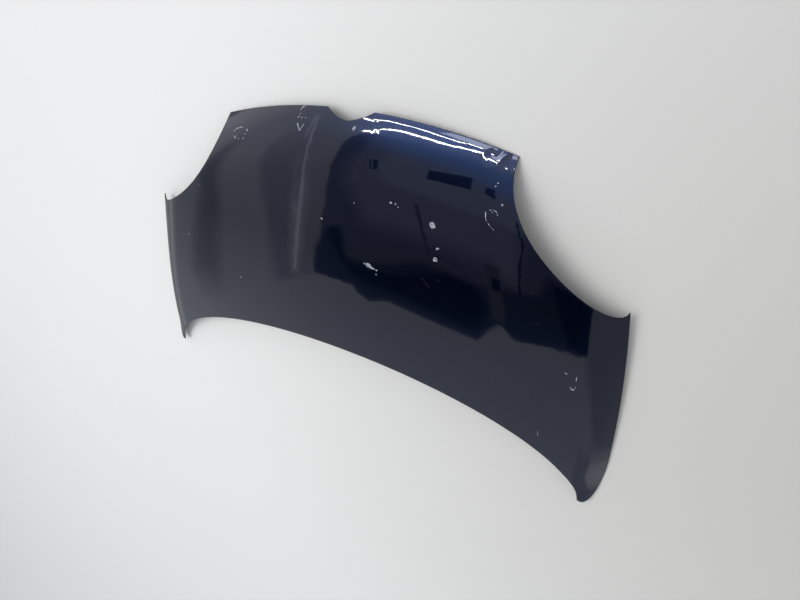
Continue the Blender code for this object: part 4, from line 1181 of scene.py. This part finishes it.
def striker_bolts(zinc):
    d = BOLT
    for side in ("left", "right"):
        lie, head, tip = lie_of("striker_bolt_" + side, "striker_footplate")
        seat = head + d["head"]
        rings = [
            ring(0.30 * d["flats"], head + 0.0005), ring(0.62 * d["flats"], head + 0.0004),
            ring(0.70 * d["flats"], head), ring(d["flats"] - 2.2 * d["chamfer"], head, True),
            ring(d["flats"] - 0.4 * d["chamfer"], head + 0.7 * d["chamfer"], True),
            ring(d["flats"], head + 1.2 * d["chamfer"], True), ring(d["flats"], seat - 1.3 * d["rim"], True),
            ring(0.93 * d["flange"], seat - 1.05 * d["rim"]),
            ring(0.985 * d["flange"], seat - 0.85 * d["rim"]),
            ring(d["flange"], seat - 0.5 * d["rim"]), ring(d["flange"], seat), ring(d["shank"], seat),
            ring(d["shank"], tip - d["chamfer"]), ring(d["shank"] - 2 * d["chamfer"], tip),
        ]
        shell("flanged_bolt_" + side, rings, lie, zinc, "zinc_plate", "striker_bolt_" + side)


def wire_striker(zinc):
    """U of round wire with a weld bead where each leg meets the footplate."""
    lie, _, top = lie_of("striker_loop", "striker_footplate")
    radius, half = LOOP["span"] / 2, LOOP["wire"] / 2
    bend = top - LOOP["drop"] + radius
    a = np.linspace(math.pi, 2 * math.pi, 29)
    legs = [(-radius, top), (-radius, (top + bend) / 2)]
    round_end = zip(radius * np.cos(a), bend + radius * np.sin(a))
    path = np.array([*legs, *round_end, *[(-x, z) for x, z in legs[::-1]]])
    run = np.gradient(path, axis=0)
    run = run / np.linalg.norm(run, axis=1, keepdims=True)
    run[0], run[-1] = (0, -1), (0, 1)
    around = np.arange(WIRE_SIDES) * 2 * math.pi / WIRE_SIDES
    out, sideways = half * np.sin(around), half * np.cos(around)
    rings = [np.stack([x - dz * out, sideways, z + dx * out], 1) for (x, z), (dx, dz) in zip(path, run)]
    shell("wire_striker", rings, lie, zinc, "zinc_plate", "striker_loop")
    reach, height, sunk = BEAD["reach"], BEAD["height"], BEAD["sunk"]
    section = ((0.0, sunk), (1.0, sunk), (0.86, -0.3 * height), (0.45, -0.75 * height), (0.0, -height))
    for side, x in (("left", -radius), ("right", radius)):
        rings = []
        for share, drop in section:
            made = ring(2 * (half - BEAD["bite"] + share * reach), top + drop)
            turn = np.arctan2(made[:, 1], made[:, 0])
            swell = 1 + share * BEAD["ripple"] / half * np.sin(turn * BEAD["ripples"])
            rings.append(made * np.stack([swell, swell, np.ones(len(swell))], 1))
        foot = lie @ Matrix.Translation((x, 0, 0))
        shell("weld_bead_" + side, rings, foot, zinc, "zinc_plate", hollow=True)


def rounded_footplate(zinc):
    """Footplate with its pressed edges rounded over."""
    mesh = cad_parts["striker_footplate"].data.copy()
    work = bmesh.new()
    work.from_mesh(mesh)
    bmesh.ops.remove_doubles(work, verts=work.verts, dist=1e-6)
    bmesh.ops.dissolve_limit(work, angle_limit=math.radians(1), verts=work.verts, edges=work.edges)
    work.to_mesh(mesh)
    work.free()
    mesh.materials.clear()
    mesh.materials.append(zinc)
    piece = new_piece("rounded_footplate", mesh)
    edge = piece.modifiers.new("edge", "BEVEL")
    edge.width, edge.segments, edge.limit_method = PLATE_EDGE, 2, "ANGLE"
    edge.angle_limit = math.radians(SHARP_ANGLE)
    make_plain(piece)
    stands_for(settle(piece), "zinc_plate", "striker_footplate")


def rubber_stops(rubber):
    width, height, foot, stem = STOP.values()
    for side in ("left", "right"):
        lie, low, high = lie_of("bump_stop_" + side)
        top = low + height
        seat = top + FRAME_T + 2 * GAP
        section = (
            (0.30 * width, low + 0.0012), (0.42 * width, low + 0.0010), (0.48 * width, low + 0.0001),
            (0.55 * width, low), (0.64 * width, low + 0.0004), (0.70 * width, low + 0.0013),
            (0.72 * width, low + 0.0022), (0.74 * width, low + 0.36 * height),
            (0.70 * width, low + 0.42 * height), (0.74 * width, low + 0.48 * height),
            (0.80 * width, top - 1.7 * foot), (0.88 * width, top - 1.15 * foot),
            (0.97 * width, top - 0.95 * foot), (width, top - 0.7 * foot), (width, top), (stem, top),
            (stem, seat), (stem + 4.4 * BARB, seat + BARB), (0.7 * stem, high))
        rings = [ring(*row) for row in section]
        shell("rubber_stop_" + side, rings, lie, rubber, "rubber", "bump_stop_" + side)


def blanking_plugs(plastic):
    width, flange, rim, wall = PLUG.values()
    for side in ("left", "right"):
        lie, low, high = lie_of("access_plug_" + side)
        top = low + 1.4 * rim
        seat = top + FRAME_T + 2 * GAP
        neck, inner = width - 2 * GAP, width - 2 * wall
        section = (
            (0.10 * width, top - 0.62 * rim), (0.53 * width, top - 0.5 * rim),
            (0.57 * width, top - 0.7 * rim), (0.60 * width, top - 1.3 * rim), (0.63 * width, low),
            (0.67 * width, top - 1.38 * rim),
            (width + 0.7 * flange, top - 1.05 * rim), (width + 0.92 * flange, top - 0.75 * rim),
            (width + flange, top - 0.3 * rim), (width + flange, top), (neck, top), (neck, seat),
            (width + 2 * BARB, seat + 0.75 * BARB), (width - 1.2 * wall, high), (inner, high),
            (inner, top + FRAME_T), (0.2 * width, top + FRAME_T))
        rings = [ring(*row) for row in section]
        shell("blanking_plug_" + side, rings, lie, plastic, "black_plastic", "access_plug_" + side)


def stay_socket(plastic):
    width, bore, flange, rim = STAY.values()
    lie, low, high = lie_of("stay_rod_socket")
    top = low + rim
    seat = top + FRAME_T + 2 * GAP
    neck = width - 2 * GAP
    section = (
        (flange, top), (flange, top - 0.55 * rim), (0.97 * flange, top - 0.75 * rim),
        (0.74 * flange, low + 0.0002), (0.70 * flange, low), (bore + 0.0012, low), (bore, low + 0.0006),
        (bore, high), (neck - 1.5 * BARB, high), (neck + 2 * BARB, seat + 0.6 * BARB), (neck, seat),
        (neck, top))
    rings = [ring(*row) for row in section]
    shell("turned_stay_socket", rings, lie, plastic, "black_plastic", "stay_rod_socket", hollow=True)


# Studio


LAMP_RADIANCE = 60.0
LAMP_HEIGHT = 2.5
CARD_HEIGHT = 2.6
CARD_SPACING = 0.004
FLOOR_REACH = 14
# Painted shade on the floor: middle of a soft dark patch to the right of the panel, and the run over which it
# fades out
SHADE_PLACE = 1.5
SHADE_RUN = (0.2, 2.2)
KEY_PLACE = Vector((-1.3, 0.6, 3.6))

# Lamp tubes as the rolled lip mirrors them: half the height and the run of each, in pixels of the photograph
LAMPS = {
    "near_lamp": (0.75, (
        (363.4, 130.4), (370, 131.2), (373, 133), (377, 130.4), (382, 129.2), (390, 129.6), (400, 131),
        (410, 133.6), (420, 136.4), (430, 139.4), (440, 142.6), (450, 145), (460, 147.6), (470, 150),
        (480, 152.4), (490, 155.6), (496, 159), (502.4, 165))),
    "far_lamp": (0.34, (
        (362.4, 118), (369, 119.6), (373.6, 121.6), (378, 120), (386, 120.6), (396, 122.6), (410, 126),
        (420, 129), (430, 132.4), (440, 135.6), (450, 139), (460, 142), (470, 144.4), (480, 147.6),
        (489, 150.4))),
}

# Pale line and glow mirrored at the left crease, in pixels of the photograph; the line also has half its width
CREASE_LINE = (
    (320.5, 115, 0.9), (315.3, 127.5, 1.1), (310.6, 140, 1.3), (306.8, 155, 1.5), (304.2, 170, 1.6),
    (302.2, 185, 1.6), (300.4, 200, 1.6), (299, 220, 1.6), (297.3, 245, 1.5), (295.6, 268, 1.2),
)
CREASE_GLOW = (
    (301, 150), (296.5, 170), (292.5, 190), (290.5, 220), (290.3, 245), (291, 273),
    (300, 273), (303, 245), (306, 220), (309, 190), (312, 160), (317, 135),
)

# Cards overhead, each under the ones before it: radiance, tint, width of the soft edge and corners, in metres
COOL = (0.97, 1.0, 1.06)
LILAC = (0.90, 1.00, 1.80)
CARDS = {
    "far_floor": (0.64, COOL, 0.12, (
        (-60, -40), (-5.94, -3.55), (-4.63, -2.97), (-3.57, -2.47), (-3.14, -2.10), (-2.82, -1.86),
        (-2.46, -1.66), (-2.14, -1.47), (0.0, -1.0), (1.69, -1.05), (3.0, -1.9), (5.5, -4.6), (60, -44),
        (60, -60), (-60, -60))),
    "crease_glow": (0.68, COOL, 0.12, [mirrored_place(*pixel, CARD_HEIGHT) for pixel in CREASE_GLOW]),
    "crease_line": (1.25, (0.96, 1.0, 1.14), 0.06, [
        *[mirrored_place(across - half, down, CARD_HEIGHT) for across, down, half in CREASE_LINE],
        *[mirrored_place(across + half, down, CARD_HEIGHT) for across, down, half in CREASE_LINE[::-1]]]),
    "low_right": (0.46, COOL, 1.0, ((2.2, -3.2), (4.6, -4.4), (8.0, -7.4), (5.5, -9.5), (2.2, -9.0))),
    "right_wall": (0.40, COOL, 0.45, (
        (1.45, 3.6), (60, 3.6), (60, -44), (7.0, -6.0), (4.5, -4.0), (2.5, -1.9), (1.62, -1.15), (1.45, -0.9))),
    "bright_floor": (0.95, (1.0, 1.0, 0.98), 1.4, ((4.8, -5.0), (60, -46), (60, -60), (9, -60), (4.0, -8.6))),
    "dark_side": (0.15, (0.93, 0.93, 1.30), 0.03, (
        (-2.14, 3.20), (-2.23, 2.88), (-2.16, 2.29), (-1.97, 1.56), (-1.88, 0.87), (-1.85, 0.29),
        (-1.87, 0.01), (-1.90, -0.28), (-1.95, -0.53), (-1.99, -0.84), (-2.10, -1.11), (-2.17, -1.45),
        (-1.57, -1.43), (-1.54, -1.53), (-1.41, -1.62), (-1.11, -1.49), (-0.69, -1.54), (-0.29, -1.54),
        (-0.14, -1.53), (0.01, -1.25), (0.11, -1.11), (0.17, -1.11), (0.25, -1.25), (0.49, -1.17),
        (0.73, -1.13), (0.80, -1.10), (1.66, -1.07), (1.48, -0.47), (1.60, 3.6), (0.75, 3.25), (-1.9, 3.3))),
    "mid_gloom": (0.33, (0.93, 0.93, 1.25), 0.30, (
        (-1.60, 0.2), (-1.3, -0.35), (0.1, -0.35), (0.35, -0.5), (0.60, 0.9), (1.2, 1.2), (1.5, 3.1),
        (-1.7, 3.1))),
    "upper_gloom": (0.47, (0.93, 0.97, 1.22), 0.35, (
        (-1.25, 1.3), (-1.0, 0.5), (0.5, 0.5), (1.3, 1.5), (1.4, 3.0), (-1.2, 3.0))),
    "blue_halo": (0.85, (0.42, 0.64, 1.2), 0.9, (
        (-1.35, 2.4), (0.2, 2.1), (1.4, 1.5), (1.6, 3.6), (-1.7, 3.6))),
    "low_band": (0.045, (0.8, 1.0, 1.2), 0.10, (
        (-2.05, -0.95), (-1.86, -0.60), (-1.60, -0.50), (-1.58, -0.95), (-1.28, -0.95), (-0.6, -0.66),
        (0.02, -0.66), (0.55, -0.50), (0.66, -0.25), (1.50, -0.30), (1.66, -1.06), (0.80, -1.07),
        (0.25, -1.20), (0.14, -1.08), (-0.14, -1.48), (-1.11, -1.44), (-1.41, -1.56), (-1.57, -1.40),
        (-2.12, -1.40))),
    "blackest": (0.0, COOL, 0.06, (
        (-1.86, -0.62), (-1.66, -0.55), (-1.66, -1.05), (-1.28, -1.05), (-0.88, -0.96), (-0.57, -0.75),
        (-0.31, -0.69), (-0.08, -0.72), (0.03, -0.90), (-0.12, -1.36), (-0.52, -1.34), (-0.97, -1.28),
        (-1.37, -1.32), (-1.60, -1.22))),
    "right_black": (0.0, COOL, 0.06, ((0.70, -0.30), (1.46, -0.36), (1.60, -1.02), (0.80, -1.02))),
    "pale_post": (0.13, COOL, 0.03, ((0.05, -0.35), (0.20, -0.35), (0.20, -1.05), (0.08, -1.05))),
    "dark_post": (0.0, COOL, 0.02, ((0.10, -0.50), (0.19, -0.50), (0.19, -0.66), (0.11, -0.66))),
    "dark_board": (0.03, COOL, 0.02, ((-0.48, 1.76), (0.11, 2.15), (0.09, 1.49), (-0.49, 1.25))),
    "small_board": (0.04, COOL, 0.02, ((0.30, 1.96), (0.43, 1.99), (0.39, 1.46), (0.25, 1.58))),
    "dark_spot": (0.02, COOL, 0.01, ((-1.27, 1.50), (-1.21, 1.53), (-1.14, 1.01), (-1.20, 1.00))),
    "dark_slot": (0.10, COOL, 0.008, ((-0.67, 0.10), (-0.62, 0.10), (-0.50, -0.54), (-0.53, -0.54))),
    "dark_gap": (0.0, COOL, 0.006, ((0.545, 0.9), (0.565, 0.9), (0.375, -0.58), (0.350, -0.58))),
    "lip_glow": (1.3, LILAC, 0.25, (
        (-3.6, 5.9), (-2.2, 5.75), (-0.9, 5.4), (0.8, 5.3), (1.0, 9.5), (-4.6, 9.5))),
    "bright_lip": (6.0, (0.95, 1.0, 1.15), 0.10, (
        (-0.95, 5.25), (-0.4, 5.15), (0.3, 5.05), (0.65, 5.2), (0.75, 6.4), (0.1, 6.7), (-0.5, 6.1))),
}


# The far wall: place and tone of each upright band, then each row's place, brightening, spread and evening out
WALL_BANDS = (
    (-60.0, 0.42), (-12.0, 0.42), (-7.0, 0.50), (-5.6, 0.52), (-5.1, 0.24), (-4.6, 0.24), (-4.15, 0.52),
    (-3.5, 0.58), (-3.1, 0.62), (-2.85, 0.40), (-2.64, 0.41), (-2.4, 0.46), (-2.1, 0.50), (-1.7, 0.46),
    (60.0, 0.45),
)
WALL_ROWS = (
    (-60.0, 1.35, 1.0, 0.8), (-2.9, 1.2, 1.0, 0.7), (-2.2, 1.1, 1.0, 0.15), (-0.8, 0.86, 1.0, 0.0),
    (0.2, 1.12, 1.14, 0.0), (1.2, 1.35, 1.27, 0.15), (3.0, 1.45, 1.5, 0.8), (8.0, 1.65, 1.5, 1.0),
    (60.0, 1.8, 1.5, 1.0),
)
EVEN_TONE = 0.55
NARROW_FROM = -2.75
NARROW_SHARE = 0.35


def emitter(name, colour, strength):
    made = bpy.data.materials.new(name)
    made.use_nodes = True
    tree = made.node_tree
    tree.nodes.remove(tree.nodes["Principled BSDF"])
    glow = node(tree, "ShaderNodeEmission", {"Color": (*colour, 1), "Strength": strength})
    tree.links.new(glow.outputs[0], tree.nodes["Material Output"].inputs["Surface"])
    return made, tree, glow


def card(name, points, faces, material, values=()):
    """Flat studio card overhead that only the gloss of the paint sees."""
    mesh = bpy.data.meshes.new(name)
    mesh.from_pydata([(float(x), float(y), float(z)) for x, y, z in points], [], faces)
    mesh.materials.append(material)
    if len(values):
        mesh.attributes.new("tone", "FLOAT", "POINT").data.foreach_set("value", np.array(values, np.float32))
    made = new_piece(name, mesh)
    for ray in ("camera", "diffuse", "shadow", "transmission", "volume_scatter"):
        setattr(made, "visible_" + ray, False)


def wall_card():
    """Far wall in soft upright bands, which spread and brighten towards the lamps."""
    made, tree, glow = emitter("wall card", COOL, 1.0)
    tone = node(tree, "ShaderNodeAttribute", attribute_name="tone")
    tree.links.new(tone.outputs["Fac"], glow.inputs["Strength"])
    points, tones = [], []
    for x, tone in WALL_BANDS:
        for y, lift, spread, fade in WALL_ROWS:
            spread = spread if x < NARROW_FROM else 1 + NARROW_SHARE * (spread - 1)
            points.append((x * spread if x < 0 else x, y, CARD_HEIGHT))
            tones.append(lift * (tone + fade * (EVEN_TONE - tone)))
    n = len(WALL_ROWS)
    faces = [(i * n + j, (i + 1) * n + j, (i + 1) * n + j + 1, i * n + j + 1)
             for i in range(len(WALL_BANDS) - 1) for j in range(n - 1)]
    card("wall_card", points, faces, made, tones)


def soft_card(name, height, strength, tint, soft, corners):
    """Card of one tone whose edge fades out over a soft width."""
    made, tree, glow = emitter(name + " tone", tint, strength)
    clear = node(tree, "ShaderNodeBsdfTransparent")
    share = node(tree, "ShaderNodeAttribute", attribute_name="tone").outputs["Fac"]
    mixed = node(tree, "ShaderNodeMixShader", {0: share, 1: clear.outputs[0], 2: glow.outputs[0]})
    tree.links.new(mixed.outputs[0], tree.nodes["Material Output"].inputs["Surface"])
    run = np.array(corners, float)
    ahead, behind = np.roll(run, -1, 0) - run, run - np.roll(run, 1, 0)
    turn = np.sign(np.sum(behind[:, 0] * ahead[:, 1] - behind[:, 1] * ahead[:, 0]))
    sides = [v / np.linalg.norm(v, axis=1, keepdims=True) for v in (ahead, behind)]
    inward = sum(np.stack([-v[:, 1], v[:, 0]], 1) for v in sides) * turn
    inward = inward / np.maximum(np.linalg.norm(inward, axis=1, keepdims=True), 0.9)
    rings = [run - inward * soft / 2, run + inward * soft / 2]
    count = len(run)
    points = [(x, y, height) for ring in rings for x, y in ring]
    faces = [tuple(range(count, 2 * count))]
    faces += [(k, (k + 1) % count, count + (k + 1) % count, count + k) for k in range(count)]
    card(name, points, faces, made, [0.0] * count + [1.0] * count)


def lamp_card(name, half_height, pixels, tube):
    """Lamp tube hung where the paint mirrors it at a run of pixels of the photograph."""
    points = []
    for across, down in pixels:
        x, y = mirrored_place(across, down, LAMP_HEIGHT)
        ends = [mirrored_place(across, down + move, LAMP_HEIGHT)[1] for move in (-half_height, half_height)]
        half = abs(ends[0] - ends[1]) / 2
        points += [(x, y - half, LAMP_HEIGHT), (x, y + half, LAMP_HEIGHT)]
    faces = [(2 * k, 2 * k + 2, 2 * k + 3, 2 * k + 1) for k in range(len(pixels) - 1)]
    card(name, points, faces, tube)


def studio():
    """Pale floor with a painted soft shade beside the panel and painted dark where the paint mirrors it, even
    pale light, and dark and bright cards overhead for the paint to mirror.
    """
    scene = bpy.context.scene
    scene.view_settings.view_transform = "Standard"
    world = bpy.data.worlds.new("even light")
    scene.world = world
    world.use_nodes = True
    tree = world.node_tree
    back = tree.nodes["Background"]
    back.inputs["Color"].default_value = (0.86, 0.87, 0.88, 1)
    gloss = Value(tree, node(tree, "ShaderNodeLightPath").outputs["Is Glossy Ray"])
    put(tree, back.inputs["Strength"], 0.86 - gloss * 0.36)
    floor_paint, tree, shader = new_material("pale_floor", (0.70, 0.70, 0.69), 0.65)
    flat = node(tree, "ShaderNodeSeparateXYZ", {0: object_place(tree)})
    across, ahead = Value(tree, flat.outputs[0]) - SHADE_PLACE, Value(tree, flat.outputs[1])
    # Painted shade: the floor colour darkens in a soft patch to the right of the panel, with a little random
    # mottle over it
    shade = 1.0 - (across * across + ahead * ahead).do("SQRT").over(*SHADE_RUN)
    tone = shade + noise(tree, 0.8, 3.0) * 0.1
    colour = blend_colour(tree, tone, (0.73, 0.727, 0.727), (0.53, 0.525, 0.51))
    # Painted shade in reflections: where the paint mirrors the floor, the floor colour is turned near black
    gloss = Value(tree, node(tree, "ShaderNodeLightPath").outputs["Is Glossy Ray"])
    put(tree, shader.inputs["Base Color"], blend_colour(tree, gloss * 0.85, colour, (0.10, 0.11, 0.12)))
    mesh = bpy.data.meshes.new("floor")
    corners = [(x * FLOOR_REACH, y * FLOOR_REACH, 0) for x, y in ((-1, -1), (1, -1), (1, 1), (-1, 1))]
    mesh.from_pydata(corners, [], [(0, 1, 2, 3)])
    mesh.materials.append(floor_paint)
    new_piece("floor", mesh)
    lamp = bpy.data.lights.new("soft key", "AREA")
    lamp.shape = "RECTANGLE"
    lamp.size, lamp.size_y = 3.0, 2.0
    lamp.energy = 70
    key = bpy.data.objects.new("soft key", lamp)
    key.location = KEY_PLACE
    key.rotation_euler = (-KEY_PLACE).to_track_quat("-Z", "Y").to_euler()
    key.visible_glossy = False
    scene.collection.objects.link(key)
    wall_card()
    for step, (name, settings) in enumerate(CARDS.items(), 1):
        soft_card(name, CARD_HEIGHT - CARD_SPACING * step, *settings)
    tube = emitter("lamp card", (0.97, 0.98, 1.0), LAMP_RADIANCE)[0]
    for name, (half_height, pixels) in LAMPS.items():
        lamp_card(name, half_height, pixels, tube)


def camera():
    lens = bpy.data.cameras.new("camera")
    lens.sensor_width = SENSOR_WIDTH
    lens.lens = FOCAL_PIXELS / IMAGE_WIDTH * SENSOR_WIDTH
    made = bpy.data.objects.new("camera", lens)
    turn = Matrix((CAMERA_RIGHT, CAMERA_UP, -CAMERA_AHEAD)).transposed()
    made.matrix_world = Matrix.Translation(CAMERA_PLACE) @ turn.to_4x4()
    bpy.context.scene.collection.objects.link(made)
    bpy.context.scene.camera = made


def dress_cad_nodes(finishes):
    """Gives each CAD part that stays its own material."""
    for name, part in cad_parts.items():
        for label, finish in finishes.items():
            if label in name:
                part.data.materials.clear()
                part.data.materials.append(finish)


def main():
    camera()
    studio()
    inside = inner_paint()
    outer_skin(*press_tree(body_paint(), base_coat()))
    ribbed = inner_frame(*press_tree(inside, inside))
    sealant_bead(moulded("sealant", (0.030, 0.034, 0.045), (0.060, 0.062, 0.070), 0.7, 300.0))
    weld_marks(ribbed, inside)
    zinc = plated("zinc_plate", (0.44, 0.44, 0.41))
    primer = moulded("primer", (0.045, 0.05, 0.055), (0.10, 0.10, 0.10), 0.6, 500.0)
    rubber = moulded("rubber", (0.012, 0.012, 0.012), (0.035, 0.034, 0.032), 0.8, 900.0)
    plastic = moulded("black_plastic", (0.014, 0.014, 0.015), (0.04, 0.04, 0.04), 0.5, 1200.0)
    mastic = moulded("mastic", (0.11, 0.10, 0.09), (0.20, 0.19, 0.17), 0.9, 400.0)
    striker_bolts(zinc)
    wire_striker(zinc)
    rounded_footplate(zinc)
    rubber_stops(rubber)
    blanking_plugs(plastic)
    stay_socket(plastic)
    dress_cad_nodes({"mastic": mastic, "reinforcement": primer, "nut": zinc})


main()
